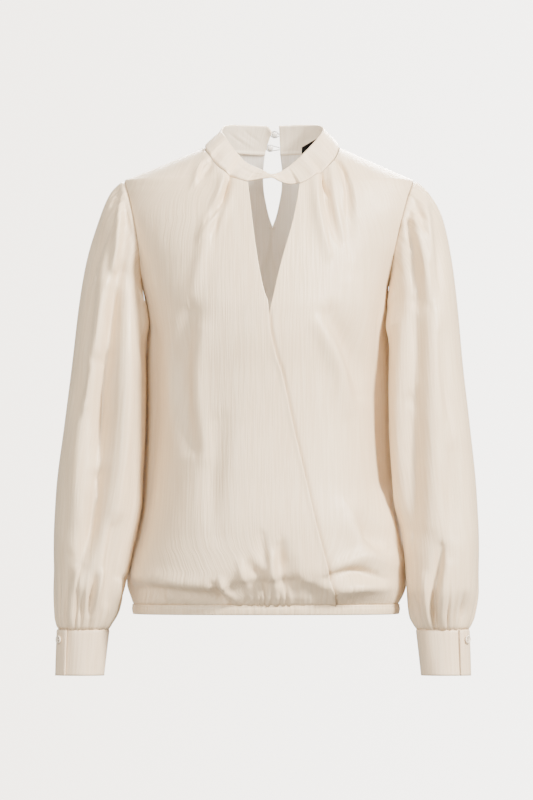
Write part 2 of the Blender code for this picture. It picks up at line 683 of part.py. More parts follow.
def collar_point(along, rise):
    """Face of the stand collar. rise is 0 at the neck seam and 1 at the top edge."""
    along, rise = np.broadcast_arrays(np.asarray(along, float), np.asarray(rise, float))
    in_front = np.sin(math.pi * np.clip((along - 0.2) / 0.66, 0.0, 1.0))
    foot = neck_seam(along)
    foot[..., 2] += COLLAR_GAP + COLLAR_GAP_FRONT * in_front
    top = np.stack([smooth_table(COLLAR_TOP, 0, c, along) for c in (1, 2, 3)], axis=-1)
    away = foot - np.array([5.0, -10.0, 0.0])
    away[..., 2] = 0.0
    away = away / np.linalg.norm(away, axis=-1, keepdims=True)
    bulge = COLLAR_BULGE * np.sin(math.pi * rise)
    return foot + (top - foot) * rise[..., None] + away * bulge[..., None]


def collar(name, material):
    back_steps = BACK_COLUMNS - BACK_SHOULDER_COLUMNS
    front_steps = FRONT_COLUMNS - FRONT_SHOULDER_COLUMNS
    stretches = ((0.0, SIDE_RIGHT, back_steps), (SIDE_RIGHT, CORNER_RIGHT, front_steps),
                 (CORNER_RIGHT, CORNER_LEFT, BRIDGE_COLUMNS), (CORNER_LEFT, SIDE_LEFT, front_steps),
                 (SIDE_LEFT, 1.0, back_steps + 1))
    stations = [np.linspace(start, end, steps, endpoint=end == 1.0)
                for start, end, steps in stretches]
    along = np.concatenate(stations)[None, :]
    rise = np.array([0.0, 0.33, 0.67, 1.0])[:, None]
    along, rise = np.broadcast_arrays(along, rise)
    wall = smooth_table(COLLAR_TOP, 0, 4, along)
    outer, inner = wall_points(collar_point, along, rise, STEP, STEP, wall)
    return cloth_solid(name, [(outer, inner)], material)


def hem_band(name, material):
    """Elastic casing, a closed ring with fine ripples."""
    quarter = np.linspace(-1.0, 3.0, BAND_COLUMNS + 1)[None, :]
    height = np.array([BAND_FOOT, BAND_FOOT + 3.5, BAND_TOP - 3.5, BAND_TOP])[:, None]
    quarter, height = np.broadcast_arrays(quarter, height)

    def point(a, b):
        base = body_oval(a, b)
        outward = base - np.array([-4.0, 0.0, 0.0])
        outward[..., 2] = 0.0
        outward = outward / np.linalg.norm(outward, axis=-1, keepdims=True)
        middle = (BAND_TOP + BAND_FOOT) / 2
        round_off = 0.8 * (1 - (np.abs(b - middle) / 6.5) ** 2)
        ripple = BAND_RIPPLE * np.sin(2 * math.pi * a * BAND_RIPPLES / 4) * (0.6 + 0.4 * np.sin(a * 5.0))
        return base + outward * (0.4 + round_off + ripple)[..., None]

    outer, inner = wall_points(point, quarter, height, STEP, 0.4, CASING)
    return cloth_solid(name, [(outer, inner)], material)


def cloth_solid(name, grids, material):
    """Closed wall from grids of outer and inner points, welded where grids meet."""
    bm = bmesh.new()
    inward = bm.verts.layers.float_vector.new("inner_face")
    for outer, inner in grids:
        rows, columns = outer.shape[:2]
        r, c = rows // 2, columns // 2
        facing_out = np.cross(outer[r, c + 1] - outer[r, c], outer[r + 1, c] - outer[r, c])
        turned = np.dot(facing_out, outer[r, c] - inner[r, c]) < 0
        verts = []
        for r in range(rows):
            line = []
            for c in range(columns):
                vert = bm.verts.new(outer[r, c] * MM)
                vert[inward] = inner[r, c] * MM
                line.append(vert)
            verts.append(line)
        for r in range(rows - 1):
            for c in range(columns - 1):
                a, b = verts[r][c], verts[r][c + 1]
                d, e = verts[r + 1][c + 1], verts[r + 1][c]
                for face in ((a, b, d), (a, d, e)):
                    bm.faces.new(reversed(face) if turned else face)
    bmesh.ops.remove_doubles(bm, verts=bm.verts[:], dist=WELD)
    faces, rim = bm.faces[:], [edge for edge in bm.edges if edge.is_boundary]
    twin = {vert: bm.verts.new(vert[inward]) for vert in bm.verts[:]}
    for face in faces:
        bm.faces.new([twin[vert] for vert in reversed(face.verts)])
    for edge in rim:
        loop = edge.link_loops[0]
        a, b = loop.vert, loop.link_loop_next.vert
        bm.faces.new((b, a, twin[a]))
        bm.faces.new((b, twin[a], twin[b]))
    return finished(name, bm, material)


def finished(name, bm, material):
    mesh = bpy.data.meshes.new(name)
    bm.to_mesh(mesh)
    bm.free()
    mesh.shade_smooth()
    mesh.set_sharp_from_angle(angle=math.radians(40))
    mesh.materials.append(material)
    obj = bpy.data.objects.new(name, mesh)
    bpy.context.scene.collection.objects.link(obj)
    return obj


def collar_rise(along, height):
    """How far up the collar lies at this height."""
    foot, top = collar_point(along, 0.0)[2], collar_point(along, 1.0)[2]
    return (height - foot) / (top - foot)


def neck_button_seat(x, height):
    """A button's centre and the lean of the collar, whose right end it sits on."""
    end = collar_point(0.0, collar_rise(0.0, height))
    run = collar_point(0.0, 1.0) - collar_point(0.0, 0.0)
    lean = math.atan2(-run[1], run[2])
    out = np.array([0.0, math.cos(lean), math.sin(lean)])
    return np.array([x, end[1], height]) + out * NECK_BUTTON_SEAT, lean


def neck_button(name, x, height, material):
    """Small domed button."""
    centre, lean = neck_button_seat(x, height)
    bm = bmesh.new()
    bmesh.ops.create_uvsphere(bm, u_segments=12, v_segments=6, radius=NECK_BUTTON_RADIUS * MM)
    flat = NECK_BUTTON_THICK / (2 * NECK_BUTTON_RADIUS)
    bmesh.ops.scale(bm, vec=(1.0, flat, 1.0), verts=bm.verts)
    obj = finished(name, bm, material)
    obj.rotation_euler = (lean, 0.0, 0.0)
    obj.location = [value * MM for value in centre]
    return obj


def cuff_button(name, row, material):
    """Flat button on the lapped end of a cuff."""
    side = row[1]
    turn = CUFF_OPENING_TURN + 1 + CUFF_LAP_TURN * 0.45
    here = cuff_point(row, np.array(turn), np.array(0.22))
    beside = cuff_point(row, np.array(turn + STEP), np.array(0.22))
    run = (beside - here) * side
    out = np.array([run[1], -run[0], 0.0])
    out = -out / np.linalg.norm(out)
    if np.dot(out, here - np.array([(row[2] + row[3]) / 2, CUFF_Y, here[2]])) < 0:
        out = -out
    bm = bmesh.new()
    bmesh.ops.create_cone(
        bm, cap_ends=True, segments=20, radius1=CUFF_BUTTON_RADIUS * MM,
        radius2=CUFF_BUTTON_RADIUS * MM, depth=CUFF_BUTTON_THICK * MM,
    )
    top = [face for face in bm.faces if face.normal.z > 0.9]
    bmesh.ops.inset_region(bm, faces=top, thickness=1.4 * MM, depth=-0.7 * MM)
    obj = finished(name, bm, material)
    seat = SEAM + 0.25 + CUFF_BUTTON_THICK / 2
    centre = here + out * seat
    axis = -np.arctan2(out[0], out[1])
    obj.rotation_euler = (-math.pi / 2, 0.0, axis)
    obj.location = tuple(centre * MM)
    return obj


def thread_loop(name, x, height, material):
    """Thread loop from the collar's left end round a button."""
    centre, lean = neck_button_seat(x, height)
    across = np.array([1.0, 0.0, 0.0])
    up = np.array([0.0, -math.sin(lean), math.cos(lean)])
    out = np.array([0.0, math.cos(lean), math.sin(lean)])
    reach = NECK_BUTTON_RADIUS + THREAD / 2 + SEAM + 0.2
    end = collar_point(1.0, collar_rise(1.0, height))
    root = end - out * BAND / 2 - across * (SEAM + THREAD / 2)
    bend = (root + centre) / 2
    bend[0] = root[0] - 0.8
    points = [root - up, bend - up * 1.8]
    for i in range(13):
        angle = math.radians(-50 - 260 * i / 12)
        points.append(centre + reach * (across * math.cos(angle) + up * math.sin(angle)))
    points += [bend + up * 1.8, root + up]
    curve = bpy.data.curves.new(name, "CURVE")
    curve.dimensions = "3D"
    curve.bevel_depth = THREAD / 2 * MM
    curve.bevel_resolution = 1
    curve.use_fill_caps = True
    spline = curve.splines.new("POLY")
    spline.points.add(len(points) - 1)
    for target, (px, py, pz) in zip(spline.points, points):
        target.co = (px * MM, py * MM, pz * MM, 1.0)
    curve.materials.append(material)
    obj = bpy.data.objects.new(name, curve)
    bpy.context.scene.collection.objects.link(obj)
    return obj


def neck_label(name, material):
    """Small bare woven label, sewn inside the collar by its top edge and hanging free."""
    share = np.linspace(0.0, 1.0, 7)
    x = LABEL_X[0] + (LABEL_X[1] - LABEL_X[0]) * share
    z = LABEL_TOP[0] + (LABEL_TOP[1] - LABEL_TOP[0]) * share
    low, high = np.full(x.shape, SIDE_LEFT + 0.01), np.full(x.shape, 0.99)
    for _ in range(40):
        middle = (low + high) / 2
        foot, top = collar_point(middle, 0.0), collar_point(middle, 1.0)
        rise = (z - foot[:, 2]) / (top[:, 2] - foot[:, 2])
        beyond = collar_point(middle, rise)[:, 0] > x
        low, high = np.where(beyond, middle, low), np.where(beyond, high, middle)
    _, face = wall_points(collar_point, middle, rise, STEP, STEP, BAND + SEAM + 0.1)
    drop = np.array([0.0, 0.35, 0.7, 1.0])[:, None, None]
    sheet = face[None] - np.array([0.0, LABEL_LEAN, LABEL_DROP]) * drop
    back_side = sheet - np.array([0.35, 0.75, 0.0]) * LABEL_WALL
    return cloth_solid(name, [(sheet, back_side)], material)


def principled(name, colour, roughness):
    material = bpy.data.materials.new(name)
    material.use_nodes = True
    shader = material.node_tree.nodes["Principled BSDF"]
    shader.inputs["Base Color"].default_value = (*colour, 1.0)
    shader.inputs["Roughness"].default_value = roughness
    shader.inputs["Metallic"].default_value = 0.0
    return material


def build():
    for obj in list(bpy.data.objects):
        bpy.data.objects.remove(obj, do_unlink=True)
    satin = principled("ivory_satin", (0.81, 0.74, 0.66), 0.5)
    thread = principled("ivory_thread", (0.78, 0.70, 0.62), 0.7)
    pearl = principled("pale_button", (0.84, 0.80, 0.74), 0.25)
    woven = principled("black_label", (0.012, 0.012, 0.014), 0.8)
    front_panel("front_right", -1, RIGHT_FRONT_EDGE, RIGHT_NECKLINE, satin)
    front_panel("front_left", 1, LEFT_FRONT_EDGE, LEFT_NECKLINE, satin)
    back_panel("back", satin)
    collar("collar", satin)
    sleeve("sleeve_right", -1, satin)
    sleeve("sleeve_left", 1, satin)
    for row in CUFFS:
        cuff(row, satin)
        cuff_button(row[0] + "_button", row, pearl)
    hem_band("hem_band", satin)
    for place, x, height in NECK_BUTTONS:
        neck_button("neck_button_" + place, x, height, pearl)
        thread_loop("neck_loop_" + place, x, height, thread)
    neck_label("neck_label", woven)


build()
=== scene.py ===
"""Looks of the keyhole blouse: ivory satin crepe with fine crinkle, gathers and sewing.

Each cloth piece is a thin shell on its solid's form. Tables are in millimetres: x to the
wearer's left, y to the back, z up, from the middle of the neck at shoulder height.
"""

import math
from functools import partial

import bmesh
import bpy
import numpy as np
from mathutils import Matrix, Vector


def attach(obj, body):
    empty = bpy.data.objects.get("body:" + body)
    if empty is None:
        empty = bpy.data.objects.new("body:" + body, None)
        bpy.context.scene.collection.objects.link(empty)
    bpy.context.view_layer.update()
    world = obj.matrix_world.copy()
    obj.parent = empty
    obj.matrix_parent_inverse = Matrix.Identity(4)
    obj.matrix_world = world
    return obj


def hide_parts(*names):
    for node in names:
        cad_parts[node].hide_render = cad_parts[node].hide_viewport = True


MM = 0.001
WAVE_BANDS = 6.0     # bands that the wave texture draws in one unit at scale 1

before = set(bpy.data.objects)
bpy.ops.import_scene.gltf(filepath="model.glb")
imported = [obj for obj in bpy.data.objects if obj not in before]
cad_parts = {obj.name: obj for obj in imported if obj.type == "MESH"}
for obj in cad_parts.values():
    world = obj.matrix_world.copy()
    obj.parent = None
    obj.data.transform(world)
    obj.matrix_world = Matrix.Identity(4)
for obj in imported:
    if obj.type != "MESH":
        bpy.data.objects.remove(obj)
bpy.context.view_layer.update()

CLOTH = 1.1          # wall of a panel or sleeve, with its turned edges
BAND = 2.0           # collar and cuff, doubled cloth
CASING = 2.4         # hem band
EDGE_TUCK = 1.1      # a sewn edge turns in by this much
TUCK_REACH = 3.0
# Seam allowance that runs under the next piece, and how far in it lies.
SEAM_UNDER = 3.0
SEAM_SINK = 1.6
FOOT_SINK = 2.3
WRAP_LIFT = 1.9      # the right front lies this far outside the left one
WRAP_DROP = 5.0      # the hidden part of the left front sinks this far in
STEP = 1e-3          # between two places that show a surface's direction
SLEEVE_GAP = 0.65
COLLAR_GAP = 0.85
COLLAR_GAP_FRONT = 0.7
COLLAR_BULGE = 1.4
LAP_LIFT = BAND + 0.8

UNDERARM = -181.0
SHOULDER_TIP = -43.0
BAND_TOP = -594.0
BAND_FOOT = -607.0
PANEL_FOOT = -593.6   # lowest edge of the panels, just clear of the hem band
BACK_NECK_DROP = 8.0
SLIT_X = 4.7
# Middle lines of the hollow of the body and of the neck. Height is left at nought.
BODY_MIDDLE = np.array([-4.0, 0.0, 0.0])
NECK_MIDDLE = np.array([5.0, -8.0, 0.0])

# Level sections of the body. square rounds an oval out towards a box.
SECTIONS = (
    # height, centre, half_width, front_depth, back_depth, square
    (-607, -4, 172, 103, 103, 0.16),
    (-594, -4, 173, 105, 105, 0.16),
    (-584, -3.5, 175.5, 118, 116, 0.16),
    (-568, -4, 179, 132, 124, 0.15),
    (-545, -3.5, 179, 139, 127, 0.14),
    (-500, -3.5, 168.5, 139, 125, 0.12),
    (-430, -4.2, 155.7, 133, 116, 0.11),
    (-354, -4.3, 149.7, 129, 106, 0.11),
    (-300, -4.5, 149, 130, 104, 0.11),
    (-240, -4, 151, 134, 107, 0.11),
    (-210, -3.8, 154.5, 133, 109, 0.10),
    (-181, -4.8, 160.3, 128, 109, 0.09),
    (-150, -3.7, 170, 121, 107, 0.07),
    (-120, -2.4, 184, 112, 104, 0.05),
    (-80, -1, 197, 99, 98, 0.04),
    (-60, -0.5, 195.5, 92, 92, 0.04),
    (-50, -0.2, 192, 88, 88, 0.04),
    (-43, 0, 188.5, 85, 85.5, 0.04),
    (-38, 0.5, 177.4, 82, 83.5, 0.04),
    (-28, 1.4, 153.6, 76.5, 78.5, 0.04),
    (-18, 2.3, 130.3, 70.5, 73, 0.04),
    (-8, 3.2, 107, 64, 67, 0.04),
    (0, 3.9, 88.4, 58, 61, 0.04),
)

# Below the armholes the sides reach back behind the sleeves, so that no light passes
# between them. flare is how far each side seam stands out, seam_y how far back it lies.
SIDES = (
    # height, flare_right, flare_left, seam_y
    (-607, 0, 0, 0),
    (-594, 0, 0, 0),
    (-578, 1.5, 3, 6),
    (-552, 2, 5, 13),
    (-530, 2, 5, 18),
    (-490, 3.5, 8, 24),
    (-430, 6.5, 12, 28),
    (-354, 9, 13.5, 28),
    (-300, 9, 13.5, 28),
    (-250, 5.5, 11, 24),
    (-222, 3, 7, 15),
    (-198, 1, 2.5, 5),
    (-181, 0, 0, 0),
)

# Half the distance between the armhole seams.
ARMHOLE = (
    # height, half_reach
    (-181, 160.3),
    (-150, 164.3),
    (-135, 166.2),
    (-120, 168.8),
    (-95, 174),
    (-70, 180),
    (-55, 184.6),
    (-43, 188.5),
)

# Front edge of each front, from the hem to the collar. The right front lies over.
RIGHT_FRONT_EDGE = (
    # height, x
    (-594, 86.8),
    (-539, 73.6),
    (-497, 62.4),
    (-433, 47.5),
    (-355, 29.3),
    (-296, 16.9),
    (-266, 7.5),
    (-229.5, 0.5),
    (-203.5, -1),
    (-187, -6.5),
    (-128.7, -17.2),
    (-46.8, -27.3),
)
LEFT_FRONT_EDGE = (
    # height, x
    (-594, -78),
    (-497, -58),
    (-400, -37),
    (-296, -16),
    (-240, -6),
    (-203.5, 3),
    (-160, 13),
    (-84.5, 33.5),
    (-49.4, 39.4),
)

# Neck seam of each front, from the shoulder seam to the keyhole.
RIGHT_NECKLINE = (
    # along, x, height
    (0.00, -84.5, 0),
    (0.12, -83.6, -4),
    (0.30, -78, -11.7),
    (0.50, -67, -25.5),
    (0.68, -52, -37),
    (0.84, -40, -43),
    (1.00, -27.3, -46.8),
)
LEFT_NECKLINE = (
    # along, x, height
    (0.00, 92.3, 0),
    (0.12, 91.4, -5),
    (0.30, 87, -13.7),
    (0.50, 79, -24),
    (0.68, 68, -33),
    (0.84, 55, -42),
    (1.00, 39.4, -49.4),
)

# Half the gap of the teardrop slit in the back.
SLIT = (
    # height, half_gap
    (-102.3, 0),
    (-90, 4.4),
    (-75, 8),
    (-52, 11.8),
    (-35, 12.4),
    (-8, 10),
)

FOLD_STRENGTH = 1.35

# Folds of the body between two points on its outline as seen from the front. relief is out
# of the cloth, bow bends the fold, and its two sides fall off over their own widths.
FRONT_FOLDS = (
    # x1, height1, x2, height2, bow, width_left, width_right, relief
    (-73, -18, -89, -42, 2, 4, 7, -3.8),
    (-76, -17, -89, -35, 3, 2.2, 2, -3),
    (-52, -40, -64, -78, -1, 2.2, 2, -3.4),
    (-64, -78, -76, -96, 0, 2.4, 2.2, -2.4),
    (68.5, -33, 77.5, -64, 2, 2.2, 2, -3.4),
    (87, -15, 101, -44, -3, 2.2, 2, -3.2),
    (-80, -20, -97, -50, 2, 6, 3, 2.9),
    (-52, -38, -80, -96, -4, 3.2, 8, -5.2),
    (-58, -42, -86, -118, -5, 8, 4.5, 4.9),
    (-48, -48, -72, -120, -3, 6, 6, 2),
    (-80, -96, -98, -190, -2, 9, 9, 2.9),
    (-66, -92, -74, -122, 0, 3, 6, -2.3),
    (69, -32, 88, -122, 4, 3.2, 9, -5.2),
    (61, -40, 78, -140, 4, 8, 4, 4.3),
    (80, -30, 96, -118, 3, 5, 5, 2.3),
    (87, -14, 103, -86, -5, 3.2, 8, -4.3),
    (95, -20, 112, -92, -5, 5, 5, 2.6),
    (103, -60, 106, -140, 2, 7, 10, -2.3),
    (79, -221, 118, -318, -6, 10, 14, -8),
    (66, -232, 100, -340, -6, 12, 10, 5.8),
    (112, -180, 132, -300, -4, 14, 12, 2.9),
    (-104, -217, -98, -390, 10, 10, 13, -7.2),
    (-88, -240, -84, -400, 8, 13, 13, 4.9),
    (-124, -230, -118, -400, 6, 12, 10, 2.9),
    (-64, -360, -70, -500, 5, 12, 16, -3.5),
    (-178, -571, -104, -577, 0, 14, 5, -8),
    (-104, -577, -50, -588, -2, 10, 5, -8),
    (-170, -556, -62, -567, 4, 7, 12, 5.1),
    (-48, -570, 34, -566, 0, 20, 7, -7),
    (34, -566, 84, -584, 2, 14, 7, -5),
    (-62, -564, -42, -593, 3, 3.5, 6, 6.4),
    (-70, -566, -50, -592, 3, 6, 3, -5.1),
    (-136, -572, -126, -592, 2, 4, 6, 3.8),
    (-112, -580, -100, -592, 2, 4, 4, 2.9),
    (14, -519, 17, -566, 1, 5, 10, -8),
    (4, -530, 7, -572, 1, 7, 4.5, 4.3),
    (-24, -544, -8, -564, 0, 8, 8, -6.7),
    (-8, -505, -2, -545, 2, 8, 5, -3.2),
    (-36, -540, -26, -575, 2, 7, 5, 3.8),
    (28, -540, 36, -590, 2, 7, 9, -3.5),
    (80, -557, 140, -557, -8, 10, 5, -8),
    (148, -455, 168, -535, 3, 12, 10, 7),
    (92, -544, 150, -536, -7, 10, 10, 4.3),
    (84, -578, 150, -572, -4, 9, 9, 8),
    (121, -490, 150, -520, 4, 9, 14, -6.4),
    (104, -470, 138, -540, 6, 14, 9, 4.1),
)
BACK_FOLDS = (
    # x1, height1, x2, height2, bow, width_left, width_right, relief
    (-62, -120, -92, -330, 8, 12, 16, -5.8),
    (66, -120, 88, -340, -8, 16, 12, -5.8),
    (-30, -330, -52, -520, 6, 14, 11, 4.9),
    (34, -340, 46, -520, -6, 12, 16, 4.9),
    (-118, -545, -60, -582, 4, 8, 10, -7.2),
    (60, -578, 120, -548, 4, 10, 8, -7.2),
    (-20, -200, -28, -300, 3, 12, 9, 2.6),
    (8, -105, 20, -170, 2, 4, 8, -2.3),
    (0, -104, -10, -160, -2, 7, 4, -1.7),
    (-146, -100, -104, -200, 6, 9, 13, -3.5),
    (148, -104, 108, -196, -6, 13, 9, -3.5),
    (-6, -520, -2, -575, 1, 6, 10, -6.4),
    (-78, -540, -70, -584, 2, 9, 6, 4.3),
    (84, -536, 78, -584, -2, 6, 9, 4.3),
)

# Gathers where the elastic draws the body in, closest in the middle of the front.
HEM_GATHER_COUNT = 128
HEM_GATHER_REACH = 46.0
HEM_GATHER_DEPTH = 2.1

# Outline of each sleeve from the front. along is the row's place from shoulder to cuff.
RIGHT_SLEEVE = (
    # along, outer_x, outer_z, inner_x, inner_z, half_depth, y
    (0.00, -188.5, -43, -165.3, -181, 47, 0),
    (0.04, -205, -60, -166.8, -186.5, 55, 0),
    (0.10, -221, -97, -163.6, -198, 58, 0),
    (0.19, -237, -151, -161.4, -222, 59, -4),
    (0.29, -246, -204, -159.8, -254, 58, -10),
    (0.42, -255.6, -286, -158.8, -312, 57, -16),
    (0.55, -265, -360, -160, -374, 56, -20),
    (0.70, -276, -450, -167.3, -455, 57, -24),
    (0.82, -279, -520, -181, -522, 57, -26),
    (0.91, -278, -569, -190.5, -569, 53, -27),
    (0.97, -275, -608, -202, -608, 40, -26),
    (1.00, -273.5, -625.6, -207, -625.6, 32.5, -26),
)
LEFT_SLEEVE = (
    # along, outer_x, outer_z, inner_x, inner_z, half_depth, y
    (0.00, 188.5, -43, 155.5, -181, 47, 0),
    (0.04, 206, -60, 157.8, -186.5, 55, 0),
    (0.10, 225, -93, 158.4, -198, 58, 0),
    (0.19, 237, -148, 157.4, -222, 59, -4),
    (0.29, 244, -204, 156, -254, 58, -10),
    (0.42, 251.5, -286, 154.6, -312, 57, -16),
    (0.55, 260, -360, 155.6, -374, 56, -20),
    (0.70, 269, -450, 163, -455, 57, -24),
    (0.82, 272, -520, 176.5, -522, 57, -26),
    (0.91, 270.5, -573, 180.5, -573, 53, -27),
    (0.97, 264, -608, 184.5, -608, 40, -26),
    (1.00, 259, -625.6, 190.6, -625.6, 32.5, -26),
)

# Long soft folds of the sleeves as seen from the front, in the columns of FRONT_FOLDS.
RIGHT_SLEEVE_FOLDS = (
    # x1, height1, x2, height2, bow, width_left, width_right, relief
    (-185, -72, -196, -170, -2, 4.5, 10, -6.5),
    (-199, -170, -216, -280, -2, 8, 17, -14.5),
    (-217, -280, -223, -430, 1, 9, 19, -17.5),
    (-224, -430, -245, -540, -4, 9, 16, -15),
    (-194, -80, -205, -180, -3, 6, 7, 5),
    (-211, -180, -236, -330, -3, 10, 9, 6),
    (-240, -340, -250, -480, 2, 12, 9, 4.5),
    (-184, -190, -195, -470, -3, 13, 11, 8.5),
    (-195, -54, -203, -98, 0, 7, 3.5, -5),
    (-203, -98, -227, -165, 4, 13, 5, -5),
    (-227, -165, -233, -250, 0, 12, 6, -3.6),
    (-235, -288, -245, -350, 2, 10, 5, -3.4),
    (-225, -560, -232, -606, 1, 4, 5.5, -6),
    (-214, -552, -229, -610, 2, 5, 6, 5),
    (-200, -495, -209, -590, 2, 6, 9, -6.5),
    (-197, -565, -211, -620, -2, 5, 5, 5),
    (-190, -560, -204, -622, -2, 4, 6, -5),
    (-258, -535, -265, -590, 1, 11, 9, -4.2),
    (-246, -580, -244, -612, 0, 7, 6, -4),
)
LEFT_SLEEVE_FOLDS = (
    # x1, height1, x2, height2, bow, width_left, width_right, relief
    (179.5, -74, 185, -132, 1.5, 3.5, 7, -6.5),
    (184, -128, 190, -205, 0, 8, 10, -6.5),
    (189, -205, 184, -330, -2, 9, 15, -7.5),
    (184, -330, 185, -495, 1, 9, 16, -8),
    (189, -96, 208, -200, -2, 6, 9, 5),
    (211, -220, 213, -490, -2, 13, 15, 5),
    (167, -230, 169, -470, 2, 9, 9, 4),
    (188.5, -68, 200, -100, -2, 7, 3, -5),
    (211.5, -80, 219, -172, -3, 4, 11, -4.6),
    (203, -78, 210, -150, -2, 5, 5, 3.4),
    (222, -245, 233, -356, 2, 5, 13, -3.6),
    (236, -400, 240, -500, 1, 10, 12, -4),
    (223, -520, 212, -584, -1, 8, 5, -7.5),
    (212, -580, 216.5, -626, 1, 3.5, 4.5, -7),
    (231, -545, 223, -615, 0, 9, 9, 4.6),
    (201, -560, 207, -615, 0, 7, 6, 4.4),
    (187, -586, 193, -622, 0, 5, 5, -5),
    (254, -585, 250, -616, 0, 7, 6, -5),
)
# The hidden half of a sleeve, x counted outwards for either side.
SLEEVE_BACK_FOLDS = (
    # x1, height1, x2, height2, bow, width_left, width_right, relief
    (186, -76, 200, -250, -4, 5, 12, -6),
    (200, -250, 206, -500, 5, 12, 14, -7.5),
    (204, -90, 226, -320, 3, 9, 14, 5),
    (184, -230, 182, -480, 2, 11, 12, 5),
    (236, -330, 244, -560, -3, 13, 10, -5),
    (214, -520, 208, -618, 2, 7, 5, -6.5),
    (226, -540, 232, -612, -1, 8, 7, 4.6),
)
# How far each sleeve, right and left, leans to the body just below the armhole.
UNDERARM_PRESS = (1.3, 0.3)
# Bulges on the inner side, where a sleeve lies against the body.
INNER_FOLDS = (
    # turn, along, width, length, relief of the right sleeve, and of the left
    (0.435, 0.045, 0.050, 0.060, 7.6, 4),
    (0.440, 0.115, 0.050, 0.150, 12.2, 12.2),
    (0.460, 0.82, 0.060, 0.150, 6.8, 3.2),
)
HEAD_GATHER_COUNT = 34
HEAD_GATHER_DEPTH = 1.1
CUFF_GATHER_COUNT = 21
CUFF_GATHER_DEPTH = 3.4

CUFF_HEIGHT = 60.0
CUFF_TOP = -626.4
CUFF_HALF_DEPTH = 31.5
CUFF_OPENING_TURN = 0.05
CUFF_LAP_TURN = 0.10
CUFFS = (
    # name, side, top_outer, top_inner, foot_outer, foot_inner
    ("cuff_right", -1, -274, -207, -275.6, -213.2),
    ("cuff_left", 1, 258.8, 190.6, 260.4, 196.6),
)
CUFF_Y = -26.0

# Breaks of the neck seam, as shares of its run from one end of the back opening, round
# the front, to the other end.
SIDE_RIGHT, CORNER_RIGHT, CORNER_LEFT, SIDE_LEFT = 0.26, 0.48, 0.60, 0.80

# Free lower edge of the collar where it bridges the keyhole.
BRIDGE = (
    # along, x, y, height
    (0.48, -27.3, -82.8, -46.8),
    (0.50, -17, -82.4, -44.8),
    (0.52, -6.5, -82.6, -43.2),
    (0.54, 3, -83.2, -43),
    (0.56, 15.6, -83.4, -48),
    (0.58, 27, -82.6, -50.6),
    (0.60, 39.4, -80.8, -49.4),
)

# Top edge of the stand collar, and its wall, thicker where the front is pinched.
COLLAR_TOP = (
    # along, x, y, height, wall
    (0.00, 4, 50.6, 20.5, 2),
    (0.03, -3, 50.4, 28.4, 2),
    (0.08, -24, 48.5, 29.3, 2),
    (0.15, -46, 40, 29.9, 2),
    (0.21, -59.5, 21, 27.6, 2),
    (0.26, -61.5, 1, 21.5, 2),
    (0.32, -56.4, -24, 12.5, 2),
    (0.38, -44.5, -43, -4.5, 2),
    (0.43, -28.6, -57, -21.5, 2.2),
    (0.48, -14, -66, -28.5, 2.6),
    (0.515, -5.5, -72, -32.5, 3.2),
    (0.54, 2.8, -78, -36.4, 4),
    (0.565, 12, -72, -34.5, 3.2),
    (0.60, 25, -62, -26.5, 2.4),
    (0.65, 41.2, -50, -12.2, 2),
    (0.71, 57, -32, 4.5, 2),
    (0.76, 67.5, -13, 17, 2),
    (0.81, 71, 8, 24.6, 2),
    (0.87, 64, 30, 29.2, 2),
    (0.93, 44, 43.5, 29.8, 2),
    (1.00, 13.4, 50.6, 28.8, 2),
)

# Creases on the stand collar between two places along it.
COLLAR_CREASES = (
    # start, end, rise1, rise2, width, relief
    (0.36, 0.555, 0.92, 0.55, 0.10, 0.9),
    (0.40, 0.550, 0.70, 0.42, 0.08, -0.7),
    (0.44, 0.550, 0.40, 0.35, 0.09, 0.9),
    (0.525, 0.62, 0.50, 0.80, 0.10, 0.8),
    (0.530, 0.60, 0.35, 0.48, 0.08, -0.7),
    (0.535, 0.60, 0.20, 0.18, 0.10, 0.9),
    (0.03, 0.11, 0.35, 0.85, 0.06, 0.7),
    (0.05, 0.15, 0.20, 0.70, 0.07, -0.7),
    (0.09, 0.19, 0.25, 0.80, 0.06, 0.6),
    (0.84, 0.95, 0.70, 0.30, 0.07, 0.6),
    (0.28, 0.44, 0.30, 0.22, 0.10, -0.5),
    (0.66, 0.80, 0.25, 0.30, 0.10, -0.5),
)
COLLAR_SEAM_IN = 2.3
COLLAR_SEAM_DOWN = 2.6
BAND_RIPPLE = 0.7
BAND_JOINTS = (31.0, 131.0)
WRAP_EDGE_LIFT = 1.2
WRAP_GROOVE = 2.4

NECK_BUTTONS = (
    # name, x, height on the collar
    ("upper", 7.2, 16.5),
    ("lower", 1.6, -1),
)
NECK_BUTTON_RADIUS = 3.8
NECK_BUTTON_THICK = 3.2
NECK_BUTTON_SEAT = 1.0
CUFF_BUTTON_RADIUS = 5.5
CUFF_BUTTON_THICK = 2.4
BUTTON_HOLE = 0.85
BUTTON_HOLE_OUT = 1.5

LABEL_WALL = 0.7
LABEL_DROP = 30.0
LABEL_LEAN = 1.5
LABEL_X = (43.5, 76.0)
LABEL_TOP = (-0.3, 18.5)

# Grids of the shells: columns round or across, rows up or along.
LOW_SHARE = 0.66     # share of a panel's rows below the armhole
FRONT_GRID, FRONT_SHOULDER = (196, 212), 8 / 19
BACK_GRID, BACK_SHOULDER = (120, 190), 7 / 15
SLEEVE_GRID = (220, 160)
CUFF_GRID = (150, 22)
COLLAR_GRID = (320, 22)
BAND_GRID = (640, 9)
LABEL_GRID = (36, 30)

